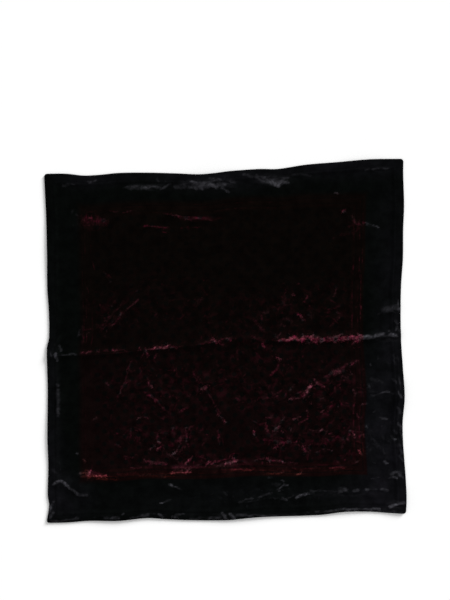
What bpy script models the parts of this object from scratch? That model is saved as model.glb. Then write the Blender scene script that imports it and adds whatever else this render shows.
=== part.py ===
"""A square velvet scarf, laid out flat with its face up.

One square of printed velvet lies on a table with its margin folded under all round. The four
folded margins are the hems. The cloth was kept folded in half, so a crease crosses it from
side to side, and smaller creases, soft swells and lifted edges break up the flat.

Metres, +Z up. The origin is the middle of the scarf's footprint, on the table. Tables that say
x and y are measured from the middle of the square before that shift.
"""

import bmesh
import bpy

# Driving dimensions
SIDE = 0.900            # each side of the finished square, flat
WALL = 0.0018           # the cloth with its pile
GAP = 0.0003            # between layers that touch
HEM_WIDTH = 0.022       # folded margin, from the folded edge to its raw edge
HEM_FALL = 0.009        # run over which the face drops off the raw edge
ROLL = 0.0034           # depth of the rolled edge, where the cloth turns under
CORNER_ROUND = 0.008    # reach within which a folded corner is drawn in, to be a little round
GRID = 0.027            # largest step between the points of the cloth

# Printed field: distance of its edge from each side of the square
FIELD_LEFT = 0.082
FIELD_RIGHT = 0.096
FIELD_BOTTOM = 0.108
FIELD_TOP = 0.073

# The crease from folding the scarf in half
CREASE_HALF_WIDTH = 0.016
CREASE_SHOULDER = 0.006

# Corners as laid: x, y
BOTTOM_LEFT = (-0.4511, -0.4589)
BOTTOM_RIGHT = (0.4546, -0.4362)
TOP_LEFT = (-0.4571, 0.4206)
TOP_RIGHT = (0.4481, 0.4584)

# How far each side lies inside the straight line between its corners.
# Columns: share of the side, from its left or bottom end; inset in metres
BOTTOM_INSET = (
    (0.06, 0.0000), (0.12, 0.0026), (0.20, 0.0008), (0.28, 0.0060), (0.33, 0.0022),
    (0.39, -0.0015), (0.50, -0.0044), (0.56, -0.0005), (0.60, 0.0015), (0.76, 0.0030),
    (0.83, 0.0092), (0.90, 0.0080), (0.95, 0.0038),
)
TOP_INSET = (
    (0.06, 0.0020), (0.11, 0.0085), (0.15, 0.0085), (0.21, 0.0057), (0.29, 0.0080),
    (0.37, 0.0130), (0.43, 0.0176), (0.47, 0.0165), (0.52, 0.0125), (0.60, 0.0105),
    (0.65, 0.0123), (0.73, 0.0045), (0.82, 0.0013), (0.91, -0.0022),
)
LEFT_INSET = (
    (0.05, 0.0070), (0.08, 0.0038), (0.16, 0.0057), (0.24, 0.0040), (0.38, 0.0055),
    (0.50, 0.0043), (0.53, 0.0098), (0.60, 0.0099), (0.67, 0.0063), (0.78, 0.0060),
    (0.88, 0.0044), (0.95, 0.0018),
)
RIGHT_INSET = (
    (0.05, -0.0013), (0.10, 0.0000), (0.15, 0.0030), (0.21, 0.0063), (0.26, 0.0066),
    (0.33, 0.0016), (0.42, 0.0056), (0.49, 0.0093), (0.58, 0.0098), (0.65, 0.0078),
    (0.72, 0.0031), (0.80, 0.0019), (0.87, -0.0008), (0.96, 0.0008),
)

# The half-way crease. Columns: share from the left side; how far it lies above or below
# half-way, as a share of the scarf's depth; height of its ridge
CREASE = (
    (0.00, -0.022, 0.0014),
    (0.05, -0.020, 0.0026),
    (0.27, -0.013, 0.0030),
    (0.45, 0.012, 0.0035),
    (0.52, 0.021, 0.0028),
    (0.62, 0.008, 0.0040),
    (0.76, 0.002, 0.0062),
    (0.92, -0.002, 0.0058),
    (1.00, 0.006, 0.0045),
)

# Largest folds, each a soft ridge along a bowed line.
# Columns: name, start x, start y, end x, end y, bow, half-width, height
FOLDS = (
    ("corner squiggle", -0.440, -0.355, -0.340, -0.392, 0.010, 0.022, 0.0050),
    ("left border streak", -0.423, -0.090, -0.420, -0.200, 0.004, 0.022, 0.0032),
    ("field left slant", -0.236, -0.045, -0.300, -0.222, 0.012, 0.026, 0.0030),
    ("field inner slant", -0.200, -0.085, -0.135, -0.200, 0.006, 0.024, 0.0026),
    ("field long slant", -0.092, -0.060, 0.000, -0.210, 0.010, 0.026, 0.0034),
    ("upper left slant", -0.310, 0.025, -0.215, 0.110, 0.006, 0.026, 0.0030),
    ("right band", 0.335, -0.050, 0.160, -0.146, 0.012, 0.032, 0.0042),
    ("field foot, left", -0.350, -0.342, -0.130, -0.330, 0.004, 0.026, 0.0030),
    ("field foot, right", -0.095, -0.322, 0.180, -0.332, -0.020, 0.026, 0.0026),
    ("top left pleat", -0.155, 0.320, -0.025, 0.302, 0.004, 0.026, 0.0028),
    ("top border, left", -0.130, 0.402, 0.030, 0.392, 0.004, 0.026, 0.0030),
    ("top border, right", 0.070, 0.410, 0.170, 0.396, -0.010, 0.026, 0.0034),
    ("bottom border, left", 0.020, -0.408, 0.225, -0.380, -0.006, 0.024, 0.0028),
    ("bottom border, right", 0.215, -0.380, 0.410, -0.378, 0.004, 0.024, 0.0028),
    ("right border tuck", 0.385, 0.062, 0.442, 0.095, 0.000, 0.024, 0.0046),
)

# Soft rises in the cloth, the last ones where an edge lifts off the table.
# Columns: name, x, y, reach along x, reach along y, height
SWELLS = (
    ("lower middle", 0.110, -0.235, 0.090, 0.070, 0.0030),
    ("lower left", -0.120, -0.255, 0.100, 0.060, 0.0028),
    ("lower right", 0.270, -0.225, 0.080, 0.090, 0.0030),
    ("upper right", 0.290, 0.200, 0.110, 0.090, 0.0022),
    ("upper left", -0.260, 0.215, 0.100, 0.110, 0.0022),
    ("left edge", -0.450, -0.030, 0.075, 0.060, 0.0012),
    ("left edge, low", -0.450, -0.240, 0.060, 0.090, 0.0012),
    ("left edge, high", -0.455, 0.230, 0.060, 0.100, 0.0012),
    ("bottom edge, left", -0.250, -0.455, 0.120, 0.055, 0.0018),
    ("bottom edge, middle", 0.060, -0.450, 0.100, 0.060, 0.0020),
    ("bottom edge, right", 0.300, -0.445, 0.080, 0.050, 0.0018),
    ("right edge, low", 0.450, -0.140, 0.060, 0.070, 0.0050),
    ("right edge, corner", 0.450, -0.400, 0.070, 0.050, 0.0050),
    ("top edge, middle", -0.040, 0.425, 0.090, 0.050, 0.0038),
    ("top edge, right", 0.340, 0.455, 0.090, 0.055, 0.0030),
)

# Section through the margin, outside in.
# Columns: inset from the folded edge; underside above the table; face above the table
HEM_FACE = 2 * WALL + GAP
MARGIN = (
    (0.0000, 0.35 * HEM_FACE, 0.65 * HEM_FACE),
    (0.0014, 0.0000, 0.93 * HEM_FACE),
    (ROLL, 0.0000, HEM_FACE),
    (ROLL + GAP, WALL + GAP, HEM_FACE),
    (HEM_WIDTH, WALL + GAP, HEM_FACE),
    (HEM_WIDTH + HEM_FALL, 0.0000, WALL),
)
HEM_OUTER = ROLL + 2 * GAP
HEM_INNER = HEM_WIDTH - GAP
MITRE_GAP = 0.75 * GAP      # each side of a mitre, measured along the hem
SHARP_EDGE = 0.7            # radians between faces, past which an edge is drawn sharp
OUTLINE_STEPS = 400         # points a side when the outline's box is measured
ROUND_UP = 0.49             # turns a count into the next whole one

# Finish: colour of each velvet, and how much its pile glows at the edges
VELVET_ROUGHNESS = 0.85
BLACK = (0.004, 0.004, 0.0045)
BURGUNDY = (0.012, 0.003, 0.003)
WRONG_SIDE = (0.010, 0.010, 0.011)
PILE_SHEEN = 0.4
NO_SHEEN = 0.0


def curve_value(rows, share, column):
    """Smooth curve through the rows' values in one column, read at a share of the side."""
    last = len(rows) - 1
    at = 0
    while at < last - 1 and share > rows[at + 1][0]:
        at += 1
    here, after = rows[at], rows[at + 1]
    before, beyond = rows[max(at - 1, 0)], rows[min(at + 2, last)]
    span = after[0] - here[0]
    t = min(max((share - here[0]) / span, 0.0), 1.0)
    slope_here = (after[column] - before[column]) / (after[0] - before[0]) * span
    slope_after = (beyond[column] - here[column]) / (beyond[0] - here[0]) * span
    return (
        (2 * t**3 - 3 * t**2 + 1) * here[column]
        + (t**3 - 2 * t**2 + t) * slope_here
        + (3 * t**2 - 2 * t**3) * after[column]
        + (t**3 - t**2) * slope_after
    )


def inset_at(rows, share):
    return curve_value(((0.0, 0.0), *rows, (1.0, 0.0)), share, 1)


def between(start, end, share):
    return tuple(a + (b - a) * share for a, b in zip(start, end))


def side_point(start, end, rows, share, inward):
    """Point on one laid side: its straight line, moved in by the inset."""
    x, y = between(start, end, share)
    inset = inset_at(rows, share)
    return x + inward[0] * inset, y + inward[1] * inset


def drawn_in(near, other):
    """How far a point this near one edge moves off it, when another edge is near as well."""
    u = max(1.0 - near / CORNER_ROUND, 0.0)
    v = max(1.0 - other / CORNER_ROUND, 0.0)
    return CORNER_ROUND * u * (1.0 - (1.0 - v * v / 2) ** 0.5)


def rounded(across, up):
    """The same shares of the side, with the corners of the square a little round."""
    from_side = min(across, 1.0 - across) * SIDE
    from_foot = min(up, 1.0 - up) * SIDE
    move_across = drawn_in(from_side, from_foot) / SIDE
    move_up = drawn_in(from_foot, from_side) / SIDE
    across += move_across if across < 0.5 else -move_across
    up += move_up if up < 0.5 else -move_up
    return across, up


def laid(across, up):
    """Where a point of the flat square, as shares of its side, lies on the table."""
    across, up = rounded(across, up)
    bend = 1.0 - abs(2.0 * up - 1.0)
    up = up + curve_value(CREASE, across, 1) * bend
    bottom = side_point(BOTTOM_LEFT, BOTTOM_RIGHT, BOTTOM_INSET, across, (0, 1))
    top = side_point(TOP_LEFT, TOP_RIGHT, TOP_INSET, across, (0, -1))
    left = side_point(BOTTOM_LEFT, TOP_LEFT, LEFT_INSET, up, (1, 0))
    right = side_point(BOTTOM_RIGHT, TOP_RIGHT, RIGHT_INSET, up, (-1, 0))
    low = between(BOTTOM_LEFT, BOTTOM_RIGHT, across)
    high = between(TOP_LEFT, TOP_RIGHT, across)
    flat = between(low, high, up)
    x = between(bottom, top, up)[0] + between(left, right, across)[0] - flat[0]
    y = between(bottom, top, up)[1] + between(left, right, across)[1] - flat[1]
    return x, y


def bump(t):
    """1 at the middle, falling smoothly to 0 at t = 1 and beyond."""
    return (1.0 - t * t) ** 2 if abs(t) < 1.0 else 0.0


def fold_height(row, x, y):
    _, x0, y0, x1, y1, bow, half_width, height = row
    length = ((x1 - x0) ** 2 + (y1 - y0) ** 2) ** 0.5
    along_x, along_y = (x1 - x0) / length, (y1 - y0) / length
    along = (x - x0) * along_x + (y - y0) * along_y
    share = along / length
    aside = (y - y0) * along_x - (x - x0) * along_y
    aside -= bow * (1.0 - (2.0 * share - 1.0) ** 2)
    return height * bump(aside / half_width) * bump(2.0 * share - 1.0) ** 0.5


def rise(x, y, across, up):
    """Height of the cloth's underside where nothing lies under it."""
    from_crease = abs(up - 0.5) * SIDE
    height = curve_value(CREASE, across, 2) * bump(from_crease / CREASE_HALF_WIDTH)
    for row in FOLDS:
        height += fold_height(row, x, y)
    for _, mid_x, mid_y, reach_x, reach_y, top in SWELLS:
        away = ((x - mid_x) / reach_x) ** 2 + ((y - mid_y) / reach_y) ** 2
        height += top * bump(away**0.5)
    return height


def margin_heights(inset):
    """Underside and face at a distance in from the folded edge."""
    for outer, inner in zip(MARGIN, MARGIN[1:]):
        if inset <= inner[0]:
            share = (inset - outer[0]) / (inner[0] - outer[0])
            return between(outer[1:], inner[1:], share)
    return MARGIN[-1][1:]


def lines_between(start, end):
    """Evenly spaced lines after the start, up to the end, no further apart than the grid."""
    count = round((end - start) / GRID + ROUND_UP)
    return [start + (end - start) * n / count for n in range(1, count + 1)]


def grid_lines(stops):
    """Lines across the flat square: those of both margins, the stops, and even steps between."""
    insets = [row[0] for row in MARGIN]
    lines = list(insets)
    far = SIDE - insets[-1]
    for stop in (*stops, far):
        lines += lines_between(lines[-1], stop)
    lines += [SIDE - inset for inset in reversed(insets[:-1])]
    return lines


def middle():
    """Middle of the laid outline's box, which the origin stands on."""
    shares = [n / OUTLINE_STEPS for n in range(OUTLINE_STEPS + 1)]
    edge = [laid(s, 0.0) for s in shares] + [laid(s, 1.0) for s in shares]
    edge += [laid(0.0, s) for s in shares] + [laid(1.0, s) for s in shares]
    xs, ys = zip(*edge)
    return (min(xs) + max(xs)) / 2, (min(ys) + max(ys)) / 2


MIDDLE = middle()


def cloth_point(s, t, above):
    """Point of the laid cloth, from metres across and up the flat square."""
    across, up = s / SIDE, t / SIDE
    x, y = laid(across, up)
    return x - MIDDLE[0], y - MIDDLE[1], rise(x, y, across, up) + above


def velvet(name, colour, sheen):
    material = bpy.data.materials.new(name)
    material.use_nodes = True
    shader = material.node_tree.nodes["Principled BSDF"]
    shader.inputs["Base Color"].default_value = (*colour, 1.0)
    shader.inputs["Roughness"].default_value = VELVET_ROUGHNESS
    shader.inputs["Metallic"].default_value = 0.0
    shader.inputs["Sheen Weight"].default_value = sheen
    material.diffuse_color = (*colour, 1.0)
    return material


def add_quad(mesh, quad, material_index=0):
    """Two triangles whose shared edge runs from the quad's first corner to its third."""
    a, b, c, d = quad
    for corners in ((a, b, c), (a, c, d)):
        mesh.faces.new(corners).material_index = material_index


def wall(name, places, under, face, materials, in_field=None):
    """Closed wall of cloth over a grid of flat positions, from its underside to its face."""
    mesh = bmesh.new()
    lower, upper = (
        [[mesh.verts.new(cloth_point(s, t, height(s, t))) for s, t in row] for row in places]
        for height in (under, face)
    )
    rows, columns = len(places) - 1, len(places[0]) - 1
    for j in range(rows):
        for i in range(columns):
            printed = in_field and in_field(*places[j][i], *places[j + 1][i + 1])
            corners = ((j, i), (j, i + 1), (j + 1, i + 1), (j + 1, i))
            add_quad(mesh, [lower[row][column] for row, column in corners])
            add_quad(mesh, [upper[row][column] for row, column in corners], 1 if printed else 0)
    rim = [(0, i) for i in range(columns)] + [(j, columns) for j in range(rows)]
    rim += [(rows, i) for i in range(columns, 0, -1)] + [(j, 0) for j in range(rows, 0, -1)]
    for (j, i), (next_j, next_i) in zip(rim, rim[1:] + rim[:1]):
        add_quad(mesh, (lower[j][i], lower[next_j][next_i], upper[next_j][next_i], upper[j][i]))
    bmesh.ops.recalc_face_normals(mesh, faces=mesh.faces)
    data = bpy.data.meshes.new(name)
    mesh.to_mesh(data)
    mesh.free()
    data.shade_smooth()
    data.set_sharp_from_angle(angle=SHARP_EDGE)
    for material in materials:
        data.materials.append(material)
    cloth = bpy.data.objects.new(name, data)
    bpy.context.scene.collection.objects.link(cloth)


def lines_across():
    return grid_lines((FIELD_LEFT, SIDE - FIELD_RIGHT))


def lines_up():
    half = SIDE / 2
    crease = (-CREASE_HALF_WIDTH, -CREASE_SHOULDER, 0.0, CREASE_SHOULDER, CREASE_HALF_WIDTH)
    return grid_lines((FIELD_BOTTOM, *(half + offset for offset in crease), SIDE - FIELD_TOP))


def build_square(materials):
    """The square, its margin raised on the hems and its edge rolled down to the table."""

    def under(s, t):
        return margin_heights(min(s, t, SIDE - s, SIDE - t))[0]

    def face(s, t):
        return margin_heights(min(s, t, SIDE - s, SIDE - t))[1]

    def in_field(s0, t0, s1, t1):
        inside_across = FIELD_LEFT <= s0 + GAP and s1 - GAP <= SIDE - FIELD_RIGHT
        return inside_across and FIELD_BOTTOM <= t0 + GAP and t1 - GAP <= SIDE - FIELD_TOP

    places = [[(s, t) for s in lines_across()] for t in lines_up()]
    wall("velvet_square", places, under, face, materials, in_field)


def build_hem(name, lines, insets, placed, material):
    """One folded margin under the square, mitred at both ends."""
    clear = HEM_WIDTH + HEM_FALL
    middle_lines = [line for line in lines if clear < line < SIDE - clear]
    places = []
    for inset in insets:
        end = inset + MITRE_GAP
        start_lines = [end, (end + clear) / 2, clear]
        end_lines = [SIDE - line for line in reversed(start_lines)]
        places.append([placed(line, inset) for line in start_lines + middle_lines + end_lines])
    wall(name, places, lambda s, t: 0.0, lambda s, t: WALL, (material,))


def build_hems(material):
    """The rows of each hem run left to right or upwards, as the square's do."""
    rising = (HEM_OUTER, HEM_INNER)
    falling = (HEM_INNER, HEM_OUTER)
    sides = (
        ("hem_bottom", lines_across(), rising, lambda along, inset: (along, inset)),
        ("hem_right", lines_up(), falling, lambda along, inset: (SIDE - inset, along)),
        ("hem_top", lines_across(), falling, lambda along, inset: (along, SIDE - inset)),
        ("hem_left", lines_up(), rising, lambda along, inset: (inset, along)),
    )
    for name, lines, insets, placed in sides:
        build_hem(name, lines, insets, placed, material)


def main():
    for thing in list(bpy.data.objects):
        bpy.data.objects.remove(thing)
    black = velvet("black_velvet", BLACK, PILE_SHEEN)
    burgundy = velvet("burgundy_print", BURGUNDY, PILE_SHEEN)
    build_square((black, burgundy))
    build_hems(velvet("velvet_wrong_side", WRONG_SIDE, NO_SHEEN))


main()
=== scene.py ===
# Velvet scarf: a printed square of crushed velvet, laid out flat and seen from straight above.
import math

import bpy
import numpy as np
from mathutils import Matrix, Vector, noise


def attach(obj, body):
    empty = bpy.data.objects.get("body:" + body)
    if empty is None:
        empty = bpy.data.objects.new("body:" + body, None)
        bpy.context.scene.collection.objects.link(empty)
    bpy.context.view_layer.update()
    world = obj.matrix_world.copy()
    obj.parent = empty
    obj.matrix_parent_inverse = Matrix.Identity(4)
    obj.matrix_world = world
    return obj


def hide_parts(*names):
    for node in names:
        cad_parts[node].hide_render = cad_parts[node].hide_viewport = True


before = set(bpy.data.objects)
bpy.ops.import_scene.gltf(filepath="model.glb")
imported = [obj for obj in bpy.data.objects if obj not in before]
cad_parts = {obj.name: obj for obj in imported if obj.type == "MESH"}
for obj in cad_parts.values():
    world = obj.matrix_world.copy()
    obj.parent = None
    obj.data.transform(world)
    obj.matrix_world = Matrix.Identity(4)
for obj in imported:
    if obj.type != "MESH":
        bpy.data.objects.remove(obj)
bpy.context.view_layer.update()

print("frame loaded with", len(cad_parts), "solids")

# The scarf as it lies, in metres, with the same sizes as its solids.
# Insets hold: share of the side from its left or bottom end, distance inside the straight line.
scarf = {
    "side": 0.900,
    "wall": 0.0018,
    "gap": 0.0003,
    "cornerRound": 0.008,
    "roll": 0.0034,  # the edge turns under over this depth
    "hemWidth": 0.022,
    "hemFall": 0.009,  # the face drops off the hem's raw edge over this run
    "bottomLeft": (-0.4511, -0.4589),
    "bottomRight": (0.4546, -0.4362),
    "topLeft": (-0.4571, 0.4206),
    "topRight": (0.4481, 0.4584),
    "bottomInset": [
        (0.06, 0.0000), (0.12, 0.0026), (0.20, 0.0008), (0.28, 0.0060), (0.33, 0.0022),
        (0.39, -0.0015), (0.50, -0.0044), (0.56, -0.0005), (0.60, 0.0015), (0.76, 0.0030),
        (0.83, 0.0092), (0.90, 0.0080), (0.95, 0.0038),
    ],
    "topInset": [
        (0.06, 0.0020), (0.11, 0.0085), (0.15, 0.0085), (0.21, 0.0057), (0.29, 0.0080),
        (0.37, 0.0130), (0.43, 0.0176), (0.47, 0.0165), (0.52, 0.0125), (0.60, 0.0105),
        (0.65, 0.0123), (0.73, 0.0045), (0.82, 0.0013), (0.91, -0.0022),
    ],
    "leftInset": [
        (0.05, 0.0070), (0.08, 0.0038), (0.16, 0.0057), (0.24, 0.0040), (0.38, 0.0055),
        (0.50, 0.0043), (0.53, 0.0098), (0.60, 0.0099), (0.67, 0.0063), (0.78, 0.0060),
        (0.88, 0.0044), (0.95, 0.0018),
    ],
    "rightInset": [
        (0.05, -0.0013), (0.10, 0.0000), (0.15, 0.0030), (0.21, 0.0063), (0.26, 0.0066),
        (0.33, 0.0016), (0.42, 0.0056), (0.49, 0.0093), (0.58, 0.0098), (0.65, 0.0078),
        (0.72, 0.0031), (0.80, 0.0019), (0.87, -0.0008), (0.96, 0.0008),
    ],
    "outlineSteps": 400,
}

# What breaks up the flat, in metres from the middle of the square.
relief = {
    "creaseHalfWidth": 0.016,
    "endFade": 0.5,
    # share from the left side, offset as a share of the depth, height of the ridge
    "halfWayCrease": [
        (0.00, -0.022, 0.0014),
        (0.05, -0.020, 0.0026),
        (0.27, -0.013, 0.0030),
        (0.45, 0.012, 0.0035),
        (0.52, 0.021, 0.0028),
        (0.62, 0.008, 0.0040),
        (0.76, 0.002, 0.0062),
        (0.92, -0.002, 0.0058),
        (1.00, 0.006, 0.0045),
    ],
    # start x, start y, end x, end y, bow, half-width, height
    "folds": [
        (-0.440, -0.355, -0.340, -0.392, 0.010, 0.022, 0.0050),
        (-0.423, -0.090, -0.420, -0.200, 0.004, 0.022, 0.0032),
        (-0.236, -0.045, -0.300, -0.222, 0.012, 0.026, 0.0030),
        (-0.200, -0.085, -0.135, -0.200, 0.006, 0.024, 0.0026),
        (-0.092, -0.060, 0.000, -0.210, 0.010, 0.026, 0.0034),
        (-0.310, 0.025, -0.215, 0.110, 0.006, 0.026, 0.0030),
        (0.335, -0.050, 0.160, -0.146, 0.012, 0.032, 0.0042),
        (-0.350, -0.342, -0.130, -0.330, 0.004, 0.026, 0.0030),
        (-0.095, -0.322, 0.180, -0.332, -0.020, 0.026, 0.0026),
        (-0.155, 0.320, -0.025, 0.302, 0.004, 0.026, 0.0028),
        (-0.130, 0.402, 0.030, 0.392, 0.004, 0.026, 0.0030),
        (0.070, 0.410, 0.170, 0.396, -0.010, 0.026, 0.0034),
        (0.020, -0.408, 0.225, -0.380, -0.006, 0.024, 0.0028),
        (0.215, -0.380, 0.410, -0.378, 0.004, 0.024, 0.0028),
        (0.385, 0.062, 0.442, 0.095, 0.000, 0.024, 0.0046),
    ],
    # x, y, reach along x, reach along y, height
    "swells": [
        (0.110, -0.235, 0.090, 0.070, 0.0030),
        (-0.120, -0.255, 0.100, 0.060, 0.0028),
        (0.270, -0.225, 0.080, 0.090, 0.0030),
        (0.290, 0.200, 0.110, 0.090, 0.0022),
        (-0.260, 0.215, 0.100, 0.110, 0.0022),
        (-0.450, -0.030, 0.075, 0.060, 0.0012),
        (-0.450, -0.240, 0.060, 0.090, 0.0012),
        (-0.455, 0.230, 0.060, 0.100, 0.0012),
        (-0.250, -0.455, 0.120, 0.055, 0.0018),
        (0.060, -0.450, 0.100, 0.060, 0.0020),
        (0.300, -0.445, 0.080, 0.050, 0.0018),
        (0.450, -0.140, 0.060, 0.070, 0.0050),
        (0.450, -0.400, 0.070, 0.050, 0.0050),
        (-0.040, 0.425, 0.090, 0.050, 0.0038),
        (0.340, 0.455, 0.090, 0.055, 0.0030),
    ],
}

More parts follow.
